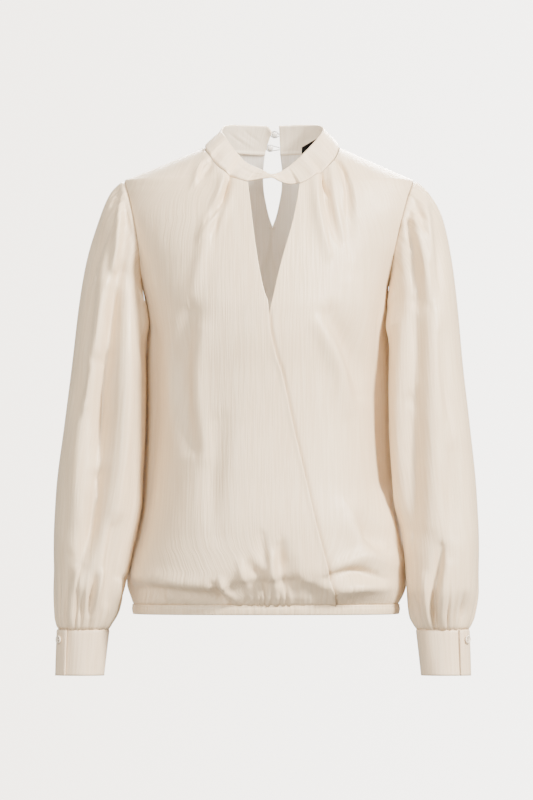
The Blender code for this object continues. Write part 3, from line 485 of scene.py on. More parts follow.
# Side outline of the studio sweep in metres, from the floor's front edge up the wall.
STAGE_PROFILE = ((-1.4, -1.15), (0.6, -1.15), (0.95, -1.12), (1.15, -1.0), (1.27, -0.8),
                 (1.3, -0.5), (1.3, 1.2))
STAGE_HALF_WIDTH = 1.3
PAPER_LIGHT = 6.2
CAMERA_DISTANCE = 16.0
CAMERA_LENS = 36.0 * CAMERA_DISTANCE / 1.04
LAMPS = (
    # name, place in metres, size, watts, target, colour
    ("key", (3.0, -2.7, 1.8), 0.9, 820.0, (0.0, 0.0, -0.30), (1.0, 0.98, 0.95)),
    ("fill", (-1.6, -4.4, 0.6), 2.2, 250.0, (0.0, 0.0, -0.35), (1.0, 0.99, 0.97)),
    ("top", (0.1, 0.3, 2.3), 1.0, 60.0, (0.0, 0.0, -0.2), (1.0, 0.99, 0.97)),
    ("behind", (0.3, 2.2, 0.9), 1.6, 330.0, (0.0, 0.1, -0.25), (1.0, 0.97, 0.93)),
)


def smooth_table(rows, key, value, at):
    """Monotone cubic curve through a table's rows, read at the given places."""
    x = np.array([row[key] for row in rows], float)
    y = np.array([row[value] for row in rows], float)
    step = np.diff(x)
    slope = np.diff(y) / step
    before, after = slope[:-1], slope[1:]
    same = before * after > 0
    total = np.where(same, before + after, 1.0)
    inside = np.where(same, 2.0 * before * after / total, 0.0)
    tangent = np.concatenate([slope[:1], inside, slope[-1:]])
    at = np.clip(np.asarray(at, float), x[0], x[-1])
    i = np.clip(np.searchsorted(x, at, side="right") - 1, 0, len(x) - 2)
    h = step[i]
    t = (at - x[i]) / h
    rise = (2 * t**3 - 3 * t**2 + 1) * y[i] + (3 * t**2 - 2 * t**3) * y[i + 1]
    bend = (t**3 - 2 * t**2 + t) * tangent[i] + (t**3 - t**2) * tangent[i + 1]
    return rise + h * bend


def ease(value, low, high):
    """0 below low, 1 above high, smooth between."""
    t = np.clip((np.asarray(value, float) - low) / (high - low), 0.0, 1.0)
    return t * t * (3 - 2 * t)


def section(height, column):
    return smooth_table(SECTIONS, 0, column, height)


def body_oval(quarter, height):
    """Point of the smooth body. quarter is -1 and 1 at the side seams, 0 in front, 2 behind."""
    s = np.sin(quarter * math.pi / 2)
    c = np.cos(quarter * math.pi / 2)
    square = section(height, 5)
    depth = np.where(c > 0, section(height, 3), section(height, 4))
    flare = np.where(s < 0, smooth_table(SIDES, 0, 1, height), smooth_table(SIDES, 0, 2, height))
    far = np.where(c > 0, ease(np.abs(s), 0.92, 1.0), ease(np.abs(s), 0.70, 1.0))
    x = section(height, 1) + section(height, 2) * s * (1 + square * c * c)
    x = x + np.sign(s) * flare * far
    y = -depth * c * (1 + square * s * s) + smooth_table(SIDES, 0, 3, height) * s**4
    return np.stack(np.broadcast_arrays(x, y, height), axis=-1)


def quarter_at(x, height, behind=False):
    """The quarter at which the body has this x."""
    reach = np.clip((x - section(height, 1)) / section(height, 2), -1.0, 1.0)
    square = section(height, 5)
    s = reach.copy() if isinstance(reach, np.ndarray) else np.array(reach)
    for _ in range(30):
        s = reach / (1 + square * (1 - s * s))
    quarter = np.arcsin(np.clip(s, -1.0, 1.0)) * 2 / math.pi
    return 2 - quarter if behind else quarter


def fold_relief(x, z, folds):
    """Summed relief of folds, each along a slightly bowed line."""
    total = np.zeros(np.broadcast(x, z).shape)
    for x1, z1, x2, z2, bow, left, right, relief in folds:
        run = math.hypot(x2 - x1, z2 - z1)
        ax, az = (x2 - x1) / run, (z2 - z1) / run
        along = ((x - x1) * ax + (z - z1) * az) / run
        t = np.clip(along, 0.0, 1.0)
        off = (x - x1) * az - (z - z1) * ax - bow * np.sin(math.pi * t)
        over = np.maximum(np.abs(along - 0.5) - 0.5, 0.0) * run
        taper = 0.35 + 0.65 * np.sin(math.pi * np.clip(t * 0.9 + 0.08, 0, 1))
        reach = np.where(off < 0, right, left)
        total = total + relief * taper * np.exp(-(off**2 + over**2) / reach**2)
    return FOLD_STRENGTH * total


def pleats(phase):
    """Rounded ridges between sharp valleys, from -1 to 1, one for each whole phase."""
    return 2 * np.abs(np.sin(math.pi * phase)) ** 0.8 - 1


def gather_phase(quarter, slant=0.0):
    """Place among the hem's gathers, how far they drift there and how strong they are."""
    phase = quarter * HEM_GATHER_COUNT / 4
    drift = 0.35 * np.sin(phase * 0.73) + 0.22 * np.sin(phase * 1.9 + slant)
    strong = 0.55 + 0.45 * np.sin(phase * 0.41 + 0.8) * np.sin(phase * 0.17 + 2.0)
    return phase, drift, strong


def hem_gathers(quarter, x, height, front):
    """Uneven gathers that fade out above the elastic, calm beside the wrapped edge."""
    phase, drift, strong = gather_phase(quarter, height * 0.03)
    rise = np.clip((height - BAND_TOP) / HEM_GATHER_REACH, 0.0, 1.0)
    fine = (1 - rise) ** 2.2 * pleats(phase + drift)
    broad = (1 - rise) ** 1.2 * rise * 3.0 * pleats(phase / 3 + drift * 0.5)
    calm = 1.0
    if front:
        gap = np.abs(x - smooth_table(RIGHT_FRONT_EDGE, 0, 1, height))
        middle = np.exp(-(((x + 2.0) / 42.0) ** 2))
        calm = ease(gap, 3.0, 20.0) * (0.6 + 1.5 * middle)
    return HEM_GATHER_DEPTH * (fine + 0.8 * broad) * strong * calm


def body_point(quarter, height, lift=0.0):
    """Outer face of the body with its folds, lifted along the face's own direction."""
    quarter = np.asarray(quarter, float)
    height = np.asarray(height, float)
    base = body_oval(quarter, height)
    side = body_oval(quarter + STEP, height) - body_oval(quarter - STEP, height)
    step = 0.5
    top = np.minimum(height + step, 0.0)
    up = body_oval(quarter, top) - body_oval(quarter, top - 2 * step)
    normal = np.cross(side, up)
    level = ease(height, PANEL_FOOT, PANEL_FOOT + HEM_GATHER_REACH)[..., None]
    normal = normal * np.where(np.arange(3) < 2, 1.0, level)
    normal = normal / np.linalg.norm(normal, axis=-1, keepdims=True)
    front = np.cos(quarter * math.pi / 2) > 0
    x = base[..., 0]
    relief = np.where(
        front,
        fold_relief(x, height, FRONT_FOLDS) + hem_gathers(quarter, x, height, True),
        fold_relief(x, height, BACK_FOLDS) + hem_gathers(quarter, x, height, False),
    )
    edge = ease(np.abs(np.cos(quarter * math.pi / 2)), 0.0, 0.25)
    edge = edge * (0.5 + 0.5 * ease(height, PANEL_FOOT, PANEL_FOOT + 9.0))
    sink = FOOT_SINK * (height < PANEL_FOOT)
    point = base + normal * (relief * edge + lift - sink)[..., None]
    point[..., 2] = np.maximum(point[..., 2], np.minimum(height, PANEL_FOOT))
    return point


def panel_places(side, u, v, share, edge, neckline, behind):
    """Places (quarter, height) of a panel. u is 0 at the side seam and 1 at the free edge,
    v is 0 at the hem and 1 at shoulder and neck, and share of u ends on the shoulder."""
    seam_side = float(side)
    if behind and side < 0:
        seam_side = 3.0
    low = PANEL_FOOT + (UNDERARM - PANEL_FOOT) * np.minimum(v / LOW_SHARE, 1.0)
    low = low - SEAM_UNDER * (v <= 0)
    inner = quarter_at(edge(low), low, behind)
    quarter_low = seam_side + (inner - seam_side) * u
    x_low = body_oval(quarter_low, low)[..., 0]
    z_top = SHOULDER_TIP * (1 - np.clip(u / share, 0.0, 1.0))
    x_top = body_oval(np.full(u.shape, seam_side), z_top)[..., 0]
    past = (u - share) / (1 - share)
    neck_x, neck_z = neckline(np.clip(past, 0.0, 1.0))
    x_top = np.where(past > 0, neck_x, x_top)
    z_top = np.where(past > 0, neck_z, z_top)
    rise = np.sin(np.clip((v - LOW_SHARE) / (1 - LOW_SHARE), 0.0, 1.0) * math.pi / 2)
    z = UNDERARM + (z_top - UNDERARM) * rise
    x = x_low + (x_top - x_low) * rise
    reach = section(z[:, :1], 1) + side * smooth_table(ARMHOLE, 0, 1, z[:, :1])
    x = x + (reach - x[:, :1]) * (1 - u) ** 2
    last = v >= 1.0
    x = np.where(last, x, x + (edge(z[:, -1:]) - x[:, -1:]) * u**2)
    quarter_high = quarter_at(x, z, behind)
    quarter_high = np.where(last & (past <= 0), seam_side, quarter_high)
    high = v > LOW_SHARE
    return np.where(high, quarter_high, quarter_low), np.where(high, z, low)


def sewn_tuck(*distances):
    """How far a sewn edge turns in, from its distances to each point in millimetres."""
    near = np.minimum.reduce(np.broadcast_arrays(*distances))
    return -EDGE_TUCK * (1 - ease(near, 0.0, TUCK_REACH))


def panel_tuck(u, v, share):
    """A panel's side, armhole and shoulder edges turn in. Its neck edge does so less."""
    neck = ease(u, share - 0.02, share + 0.05)
    return sewn_tuck(u * 250.0, (1 - v) ** 2 * 330.0 + neck * 1.4)


def front_point(side, u, v):
    """Outer face of one front. The right front lies over the left."""
    edge_rows = RIGHT_FRONT_EDGE if side < 0 else LEFT_FRONT_EDGE
    neck_rows = RIGHT_NECKLINE if side < 0 else LEFT_NECKLINE

    def edge(height):
        return smooth_table(edge_rows, 0, 1, height)

    def neckline(along):
        return smooth_table(neck_rows, 0, 1, along), smooth_table(neck_rows, 0, 2, along)

    quarter, height = panel_places(side, u, v, FRONT_SHOULDER, edge, neckline, False)
    x = body_oval(quarter, height)[..., 0]
    if side < 0:
        hidden = smooth_table(LEFT_FRONT_EDGE, 0, 1, height)
        low = 1 - ease(height, -203.0, -150.0)
        lift = WRAP_LIFT * ease(x, hidden - 45.0, hidden - 5.0) * low
        free = 1 - ease(edge(height) - x, 0.0, 7.0)
        lift = lift + WRAP_EDGE_LIFT * free * ease(-height, 215.0, 300.0)
    else:
        shown = smooth_table(RIGHT_FRONT_EDGE, 0, 1, height)
        low = 1 - ease(height, -225.0, -203.5)
        lift = -WRAP_DROP * ease(shown - x, 2.0, 32.0) * low
        lift = lift - WRAP_GROOVE * np.exp(-(((x - shown - 1.0) / 3.0) ** 2)) * low
    return body_point(quarter, height, lift + panel_tuck(u, v, FRONT_SHOULDER))


def back_point(side, u, v):
    """Outer face of one half of the back, up to the middle or the slit."""

    def edge(height):
        return SLIT_X + side * slit_half(height)

    def neckline(along):
        return back_neckline(side, along)

    quarter, height = panel_places(side, u, v, BACK_SHOULDER, edge, neckline, True)
    return body_point(quarter, height, panel_tuck(u, v, BACK_SHOULDER))


def sleeve_relief(side, turn, along, x, height):
    """Long folds, fine gathers at the sleeve head and deeper ones above the cuff."""
    facing = np.sin(2 * math.pi * turn)
    front = RIGHT_SLEEVE_FOLDS if side < 0 else LEFT_SLEEVE_FOLDS
    total = np.where(facing > 0, fold_relief(x, height, front),
                     fold_relief(side * x, height, SLEEVE_BACK_FOLDS))
    total = total * ease(np.abs(facing), 0.0, 0.35)
    for at_turn, at_along, wide, long, right, left in INNER_FOLDS:
        near = ((turn % 1.0 - at_turn) / wide) ** 2 + ((along - at_along) / long) ** 4
        total = total + (right if side < 0 else left) * np.exp(-near)
    top = np.clip(np.cos(2 * math.pi * turn) * 1.4 + 0.35, 0.0, 1.0)
    head = pleats(HEAD_GATHER_COUNT * (turn + 0.006 * np.sin(turn * 40.0)))
    strong = 0.6 + 0.4 * np.sin(turn * 31.0 + side)
    fade = 1 - ease(along, 0.03, 0.15)
    total = total + HEAD_GATHER_DEPTH * head * strong * top * fade
    shift = 0.010 * np.sin(turn * 31.0 + side) + 0.006 * np.sin(turn * 57.0)
    cuff = pleats(CUFF_GATHER_COUNT * (turn + shift))
    strong = 0.65 + 0.35 * np.sin(turn * 23.0 + 2.0 * side)
    fade = ease(along, 0.86, 0.975) * (1 - 0.55 * ease(along, 0.975, 1.0))
    total = total + CUFF_GATHER_DEPTH * cuff * strong * fade
    return total * ease(along, 0.0, 0.02)


def sleeve_point(side, turn, along):
    """Outer face of a sleeve, from the armhole at 0 to the cuff at 1."""
    rows = RIGHT_SLEEVE if side < 0 else LEFT_SLEEVE
    turn, along = np.broadcast_arrays(np.asarray(turn, float), np.asarray(along, float))
    read = [smooth_table(rows, 0, column, along) for column in range(1, 7)]
    outer_x, outer_z, inner_x, inner_z, depth, y = read
    angle = 2 * math.pi * turn
    c, s = np.cos(angle), np.sin(angle)
    x = (outer_x + inner_x) / 2 + (outer_x - inner_x) / 2 * c * (1 + 0.06 * s * s)
    z = (outer_z + inner_z) / 2 + (outer_z - inner_z) / 2 * c
    ring = np.stack([x, y - depth * s * (1 + 0.06 * c * c), z], axis=-1)
    zero = np.zeros_like(along)
    start = [smooth_table(rows, 0, column, zero) for column in range(1, 7)]
    sx = (start[0] + start[2]) / 2 + (start[0] - start[2]) / 2 * c
    sz = (start[1] + start[3]) / 2 + (start[1] - start[3]) / 2 * c
    first = np.stack([sx, start[5] - start[4] * s, sz], axis=-1)
    keep = (1 - ease(along, 0.0, 0.12))[..., None]
    point = ring + (armhole(side, turn) - first) * keep
    point[..., 0] += side * (SLEEVE_GAP - SEAM_UNDER * (along <= 0))
    point[..., 2] -= SEAM_UNDER * (along >= 1)
    near = np.exp(-(((turn % 1.0 - 0.44) / 0.06) ** 2) - ((along - 0.035) / 0.045) ** 4)
    point[..., 0] -= side * (UNDERARM_PRESS[0] if side < 0 else UNDERARM_PRESS[1]) * near
    across = np.hypot(outer_x - inner_x, outer_z - inner_z)
    outward = np.stack([c * (outer_x - inner_x) / across, -s,
                        c * (outer_z - inner_z) / across], axis=-1)
    relief = sleeve_relief(side, turn, along, point[..., 0], point[..., 2])
    relief = relief + sewn_tuck(along * 640.0, (1 - along) * 640.0)
    relief = relief - SEAM_SINK * (along <= 0) - FOOT_SINK * (along >= 1)
    return point + outward * relief[..., None]


def cuff_point(row, turn, drop):
    """Outer face of a cuff. drop is 0 at its top and 1 at its foot."""
    _, side, top_outer, top_inner, foot_outer, foot_inner = row
    outer = top_outer + (foot_outer - top_outer) * drop
    inner = top_inner + (foot_inner - top_inner) * drop
    angle = 2 * math.pi * turn
    lap = ease(turn, CUFF_OPENING_TURN + 1 - 0.06, CUFF_OPENING_TURN + 1)
    dent = 0.35 * np.sin(turn * 19.0 + drop * 2.0) + 0.25 * np.sin(turn * 41.0 - drop * 3.0)
    dent = dent + sewn_tuck(drop * 60.0 + 0.4) * 0.8
    half = (outer - inner) / 2 + side * (LAP_LIFT * lap + dent)
    depth = CUFF_HALF_DEPTH + LAP_LIFT * lap + dent
    x = (outer + inner) / 2 + half * np.cos(angle) * (1 + 0.05 * np.sin(angle) ** 2)
    y = CUFF_Y - depth * np.sin(angle)
    z = CUFF_TOP - CUFF_HEIGHT * drop
    return np.stack(np.broadcast_arrays(x, y, z), axis=-1)


def collar_relief(along, rise):
    """Creases that run into the pinch, and slack ones inside the back."""
    total = np.zeros(along.shape)
    for start, end, rise1, rise2, width, relief in COLLAR_CREASES:
        t = np.clip((along - start) / (end - start), 0.0, 1.0)
        inside = np.sin(math.pi * t) ** 0.8
        off = (rise - rise1 - (rise2 - rise1) * t) / width
        total = total + relief * inside * np.exp(-(off**2))
    return total


def collar_point(along, rise):
    """Face of the stand collar. rise is 0 at the neck seam and 1 at the top edge."""
    along, rise = np.broadcast_arrays(np.asarray(along, float), np.asarray(rise, float))
    in_front = np.sin(math.pi * np.clip((along - 0.2) / 0.66, 0.0, 1.0))
    foot = neck_seam(along)
    foot[..., 2] += COLLAR_GAP + COLLAR_GAP_FRONT * in_front
    top = np.stack([smooth_table(COLLAR_TOP, 0, c, along) for c in (1, 2, 3)], axis=-1)
    away = foot - np.array([5.0, -10.0, 0.0])
    away[..., 2] = 0.0
    away = away / np.linalg.norm(away, axis=-1, keepdims=True)
    sewn = ease(np.maximum(CORNER_RIGHT - along, along - CORNER_LEFT), 0.0, 0.05)
    tuck = -COLLAR_SEAM_IN * sewn * (1 - ease(rise, -0.02, 0.07))
    out = COLLAR_BULGE * np.sin(math.pi * rise) + collar_relief(along, rise) + tuck
    point = foot + (top - foot) * rise[..., None] + away * out[..., None]
    point[..., 2] -= COLLAR_SEAM_DOWN * sewn * (1 - ease(rise, 0.0, 0.07))
    return point


def band_point(quarter, height):
    """Outer face of the hem band, rippled by the elastic in it."""
    base = body_oval(quarter, height)
    outward = base - BODY_MIDDLE
    outward[..., 2] = 0.0
    outward = outward / np.linalg.norm(outward, axis=-1, keepdims=True)
    middle = (BAND_TOP + BAND_FOOT) / 2
    off = np.abs(height - middle) / 6.5
    round_off = 0.9 * (1 - off**2)
    phase, drift, strong = gather_phase(quarter)
    ripple = BAND_RIPPLE * pleats(phase + drift) * strong * (1 - 0.45 * off**2)
    seam = -0.6 * np.exp(-(((height - BAND_TOP + 2.6) / 0.9) ** 2))
    joints = sum(-0.9 * np.exp(-(((base[..., 0] - x) / 1.2) ** 2)) for x in BAND_JOINTS)
    joints = joints * (base[..., 1] < 0)
    return base + outward * (0.4 + round_off + ripple + seam + joints)[..., None]


def slit_half(height):
    return smooth_table(SLIT, 0, 1, height)


def armhole(side, turn):
    """The armhole seam. turn is 0 at the shoulder, 0.25 in front, 0.5 under the arm."""
    angle = 2 * math.pi * turn
    middle = (SHOULDER_TIP + UNDERARM) / 2
    half = (SHOULDER_TIP - UNDERARM) / 2
    z = middle + half * np.cos(angle)
    reach = section(z, 1) + side * smooth_table(ARMHOLE, 0, 1, z)
    front = body_oval(quarter_at(reach, z), z)
    behind = body_oval(quarter_at(reach, z, True), z)
    return np.where((np.sin(angle) > 0)[..., None], front, behind)


def back_neckline(side, along):
    """Neck seam of the back, from the shoulder seam at 0 to the slit at 1."""
    centre, half = section(0.0, 1), section(0.0, 2)
    start = centre + side * half
    end = SLIT_X + side * slit_half(-BACK_NECK_DROP)
    x = start + (end - start) * along**0.9
    away = np.abs(x - centre) / half
    return x, -BACK_NECK_DROP * (1 - np.minimum(away, 1.0) ** 2.4)


def neck_seam(along):
    """The line that the collar stands on."""
    along = np.clip(along, 0.0, 1.0)
    right = along < 0.5
    x_back, z_back = back_neckline(
        np.where(right, -1, 1),
        np.clip(np.where(right, 1 - along / SIDE_RIGHT,
                         (along - SIDE_LEFT) / (1 - SIDE_LEFT)), 0.0, 1.0),
    )
    t_right = (along - SIDE_RIGHT) / (CORNER_RIGHT - SIDE_RIGHT)
    t_left = (SIDE_LEFT - along) / (SIDE_LEFT - CORNER_LEFT)
    x_front, z_front = (
        np.where(right, smooth_table(RIGHT_NECKLINE, 0, c, t_right),
                 smooth_table(LEFT_NECKLINE, 0, c, t_left))
        for c in (1, 2)
    )
    behind = (along < SIDE_RIGHT) | (along > SIDE_LEFT)
    x = np.where(behind, x_back, x_front)
    z = np.where(behind, z_back, z_front)
    quarter = np.where(behind, quarter_at(x, z, True), quarter_at(x, z))
    sewn = body_point(quarter, z)
    free = np.stack([smooth_table(BRIDGE, 0, c, along) for c in (1, 2, 3)], axis=-1)
    bridge = (along > CORNER_RIGHT) & (along < CORNER_LEFT)
    return np.where(bridge[..., None], free, sewn)


def srgb(hex_colour):
    """Linear colour from an sRGB hex value."""
    values = [int(hex_colour[i:i + 2], 16) / 255 for i in (1, 3, 5)]
    linear = [v / 12.92 if v <= 0.04045 else ((v + 0.055) / 1.055) ** 2.4 for v in values]
    return (*linear, 1.0)


def set_inputs(tree, node, inputs):
    """Sets a node's inputs, each to a value or by a link from a socket."""
    for name, value in inputs.items():
        if isinstance(value, bpy.types.NodeSocket):
            tree.links.new(value, node.inputs[name])
        else:
            node.inputs[name].default_value = value


def add_node(tree, kind, settings=None, inputs=None):
    node = tree.nodes.new(kind)
    for name, value in (settings or {}).items():
        setattr(node, name, value)
    set_inputs(tree, node, inputs or {})
    return node


def two_tone(tree, share, first, second):
    """Mix of two colours, each an sRGB hex value or a socket."""
    first, second = (srgb(c) if isinstance(c, str) else c for c in (first, second))
    mix = add_node(tree, "ShaderNodeMix", {"data_type": "RGBA"}, {
        "Factor": share, 6: first, 7: second})
    return mix.outputs[2]


def bump(tree, height, strength, depth_mm, **under):
    """Normal of a face that rises with a socket's value, over the normal under it."""
    node = add_node(tree, "ShaderNodeBump", {}, {
        "Strength": strength, "Distance": depth_mm * MM, "Height": height, **under})
    return node.outputs["Normal"]


def blend_shaders(tree, share, first, second):
    """Makes the surface a blend of two shaders, all the first one where share is 0."""
    blend = add_node(tree, "ShaderNodeMixShader", {}, {
        0: share, 1: first.outputs["BSDF"], 2: second.outputs["BSDF"]})
    surface = tree.nodes["Material Output"].inputs["Surface"]
    tree.links.new(blend.outputs["Shader"], surface)


def object_place(tree):
    return add_node(tree, "ShaderNodeTexCoord").outputs["Object"]


def cloth_grain(tree):
    return add_node(tree, "ShaderNodeUVMap", {"uv_map": "grain"}).outputs["UV"]


def new_material(name):
    material = bpy.data.materials.new(name)
    material.use_nodes = True
    tree = material.node_tree
    return material, tree, tree.nodes["Principled BSDF"]


def streaks(tree, uv, across_mm, along_mm, detail=2.0, offset=0.0):
    """Long thin streaks along the warp, this wide and this long."""
    scaled = add_node(tree, "ShaderNodeMapping", {}, {
        "Vector": uv, "Location": (offset, offset, 0.0),
        "Scale": (1 / across_mm, 1 / along_mm, 1.0)})
    return add_node(tree, "ShaderNodeTexNoise", {"noise_dimensions": "2D"}, {
        "Vector": scaled.outputs["Vector"], "Scale": 1.0, "Detail": detail,
        "Roughness": 0.55})


def satin_crepe(name, light, shade, crinkle):
    """Ivory satin crepe: smooth warp floats give a soft sheen, and the crepe twist draws
    the cloth into fine lengthwise crinkles 2 to 4 mm apart, each painted lighter on its
    crest and darker in its hollow as painted shade."""
    material, tree, shader = new_material(name)
    uv = cloth_grain(tree)
    line = streaks(tree, uv, 2.9, 70.0)
    long_line = streaks(tree, uv, 7.5, 210.0, 1.0, 3.7)
    # The real weave is 0.1 mm, too fine to show, so it is drawn as 1.3 mm grains.
    weave = add_node(tree, "ShaderNodeTexNoise", {"noise_dimensions": "2D"}, {
        "Vector": uv, "Scale": 1 / 1.3, "Detail": 2.0, "Roughness": 0.6})
    sharp = add_node(tree, "ShaderNodeMapRange", {"interpolation_type": "SMOOTHSTEP"}, {
        "Value": line.outputs["Fac"], "From Min": 0.36, "From Max": 0.64})
    both = add_node(tree, "ShaderNodeMath", {"operation": "MULTIPLY_ADD"}, {
        0: long_line.outputs["Fac"], 1: 0.8, 2: sharp.outputs["Result"]})
    # Painted shade: the crinkles' height also sets the colour, lighter on crests, darker in
    # hollows.
    tone = add_node(tree, "ShaderNodeMapRange", {}, {
        "Value": both.outputs["Value"], "From Min": 0.2, "From Max": 1.5})
    rough = add_node(tree, "ShaderNodeMapRange", {}, {
        "Value": weave.outputs["Fac"], "From Min": 0.3, "From Max": 0.7,
        "To Min": 0.38, "To Max": 0.50})
    low = bump(tree, both.outputs["Value"], crinkle, 0.6)
    set_inputs(tree, shader, {
        "Base Color": two_tone(tree, tone.outputs["Result"], shade, light),
        "Normal": bump(tree, weave.outputs["Fac"], 0.10, 0.3, Normal=low),
        "Roughness": rough.outputs["Result"], "IOR": 1.46, "Specular IOR Level": 0.6,
        "Sheen Weight": 0.18, "Sheen Roughness": 0.45, "Sheen Tint": srgb("#fbf3e6")})
    # Thin cloth lets some light through, which keeps its inner side warm and pale.
    through = add_node(tree, "ShaderNodeBsdfTranslucent", {}, {
        "Color": srgb("#f2e8da"), "Normal": low})
    blend_shaders(tree, 0.16, shader, through)
    return material


def twisted_thread(name, dark, light, turns_mm):
    """Polyester sewing thread: plies twisted together into diagonal bands, painted lighter on
    each ply and darker between them as painted shade.
    """
    material, tree, shader = new_material(name)
    wave = add_node(tree, "ShaderNodeTexWave", {"bands_direction": "DIAGONAL"}, {
        "Vector": object_place(tree), "Scale": 1 / (turns_mm * MM * WAVE_BANDS),
        "Distortion": 0.6})
    set_inputs(tree, shader, {
        "Base Color": two_tone(tree, wave.outputs["Fac"], dark, light),
        "Normal": bump(tree, wave.outputs["Fac"], 0.5, 0.2), "Roughness": 0.6})
    return material


def pearly_polyester(name, shade, light, edge):
    """Cast polyester button: cloudy pearl swirls under a polished, clear-coated face, with
    painted shade towards its rim.
    """
    material, tree, shader = new_material(name)
    swirl = add_node(tree, "ShaderNodeTexNoise", {}, {
        "Vector": object_place(tree), "Scale": 1 / (3.5 * MM), "Detail": 3.0,
        "Distortion": 1.8})
    cloud = two_tone(tree, swirl.outputs["Fac"], shade, light)
    # Painted shade: Layer Weight darkens the colour into the edge colour where the face turns
    # away towards the rim.
    rim = add_node(tree, "ShaderNodeLayerWeight", {}, {"Blend": 0.42})
    set_inputs(tree, shader, {
        "Base Color": two_tone(tree, rim.outputs["Facing"], cloud, edge),
        "Roughness": 0.26, "IOR": 1.55, "Coat Weight": 0.5, "Coat Roughness": 0.08})
    return material


def woven_black(name):
    """Damask label tape: close black ribs across, matt, each rib a little browner and lighter on
    its crest as a painted highlight.
    """
    material, tree, shader = new_material(name)
    # Real ribs are 0.3 mm apart, drawn here at 0.9 mm so that they show.
    rib = add_node(tree, "ShaderNodeTexWave", {"bands_direction": "Y"}, {
        "Vector": cloth_grain(tree), "Scale": 1 / (0.9 * WAVE_BANDS), "Distortion": 0.3})
    set_inputs(tree, shader, {
        "Base Color": two_tone(tree, rib.outputs["Fac"], "#050403", "#13100d"),
        "Normal": bump(tree, rib.outputs["Fac"], 0.4, 0.2), "Roughness": 0.9,
        "Specular IOR Level": 0.15})
    return material


def lit_paper():
    """Paper lit more on the right, clear from behind so that a camera there sees the blouse."""
    paper, tree, shader = new_material("lit studio paper")
    across = add_node(tree, "ShaderNodeSeparateXYZ", {}, {"Vector": object_place(tree)})
    share = add_node(tree, "ShaderNodeMapRange", {}, {
        "Value": across.outputs["X"], "From Min": -0.8, "From Max": 0.8})
    set_inputs(tree, shader, {
        "Emission Color": two_tone(tree, share.outputs["Result"], "#ded4c6", "#f9f7f3"),
        "Emission Strength": PAPER_LIGHT, "Base Color": (0.0, 0.0, 0.0, 1.0),
        "Specular IOR Level": 0.0})
    side = add_node(tree, "ShaderNodeNewGeometry").outputs["Backfacing"]
    blend_shaders(tree, side, shader, add_node(tree, "ShaderNodeBsdfTransparent"))
    return paper


def grid_shell(name, grids, wall, materials, replaced):
    """A thin shell over grids of points, with its cloth's grain as a UV map in mm.
    A second material, if there is one, is the cloth's inner side.
    grids holds (size, point, middle, grain). point and grain are read at u and v from 0
    to 1, and middle gives the middle of the hollow behind a point."""
    bm = bmesh.new()
    grain_layer = bm.loops.layers.uv.new("grain")
    first = 0
    for (columns, rows), point, middle, grain in grids:
        bmesh.ops.create_grid(bm, x_segments=columns, y_segments=rows, size=0.5)
        bm.verts.ensure_lookup_table()
        verts = bm.verts[first:]
        flat = np.array([vert.co[:2] for vert in verts]) + 0.5
        u = np.round(flat[:, 0] * columns).astype(int)
        v = np.round(flat[:, 1] * rows).astype(int)
        across, up = np.meshgrid(np.arange(columns + 1) / columns, np.arange(rows + 1) / rows)
        points = point(across, up)
        marks = grain(across, up, points)
        turned = faces_inward(points, middle)
        for vert, i, j in zip(verts, u, v):
            vert.co = points[j, i] * MM
        of_vert = {vert: marks[j, i] for vert, i, j in zip(verts, u, v)}
        new_faces = [face for face in bm.faces if face.verts[0] in of_vert]
        for face in new_faces:
            for loop in face.loops:
                loop[grain_layer].uv = of_vert[loop.vert]
        if turned:
            bmesh.ops.reverse_faces(bm, faces=new_faces)
        first = len(bm.verts)
    bmesh.ops.remove_doubles(bm, verts=bm.verts[:], dist=2e-5)
    obj = finished(name, bm, *materials)
    shell = obj.modifiers.new("cloth thickness", "SOLIDIFY")
    shell.material_offset = len(materials) - 1
    shell.thickness = wall * MM
    shell.offset = -1.0
    shell.use_even_offset = False
    carried(obj, replaced)


def faces_inward(points, middle):
    """Whether a grid's own winding looks into the garment, judged at its middle."""
    rows, columns = points.shape[:2]
    j, i = rows // 2, columns // 2
    facing = np.cross(points[j, i + 1] - points[j, i], points[j + 1, i] - points[j, i])
    return np.dot(facing, points[j, i] - middle(points[j, i])) < 0


def finished(name, bm, *materials):
    mesh = bpy.data.meshes.new(name)
    bm.to_mesh(mesh)
    bm.free()
    mesh.shade_smooth()
    for material in materials:
        mesh.materials.append(material)
    obj = bpy.data.objects.new(name, mesh)
    bpy.context.scene.collection.objects.link(obj)
    return obj


def carried(obj, *replaced):
    """Puts a piece on the garment, in place of the plain solids that it dresses."""
    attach(obj, "root")
    if replaced:
        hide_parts(*replaced)


def level_with(middle):
    """The middle of a hollow at a point's own height."""
    return lambda point: middle + (0.0, 0.0, point[2])


def row_lengths(points):
    """Distance along each row of points from its first column."""
    steps = np.linalg.norm(np.diff(points, axis=1), axis=-1)
    return np.concatenate([np.zeros((len(points), 1)), np.cumsum(steps, axis=1)], axis=1)


def panel_grain(side):
    """Warp lines that run straight down a panel, measured from its free edge."""

    def grain(u, v, points):
        run = row_lengths(points)
        from_edge = run[:, -1:] - run
        return np.stack([points[:, -1:, 0] + side * from_edge, points[..., 2]], axis=-1)

    return grain


def tube_grain(round_mm, long_mm):
    """Warp lines along a tube or strip about this far round and this long."""

    def grain(u, v, points):
        return np.stack([u * round_mm, v * long_mm], axis=-1)

    return grain


def make_body(sides):
    for name, side in (("front_right", -1), ("front_left", 1)):
        grid_shell(name + "_cloth", [(FRONT_GRID, partial(front_point, side),
                                      level_with(BODY_MIDDLE), panel_grain(side))],
                   CLOTH, sides, name)
    halves = [(BACK_GRID, partial(back_point, side), level_with(BODY_MIDDLE),
               panel_grain(side)) for side in (-1, 1)]
    grid_shell("back_cloth", halves, CLOTH, sides, "back")


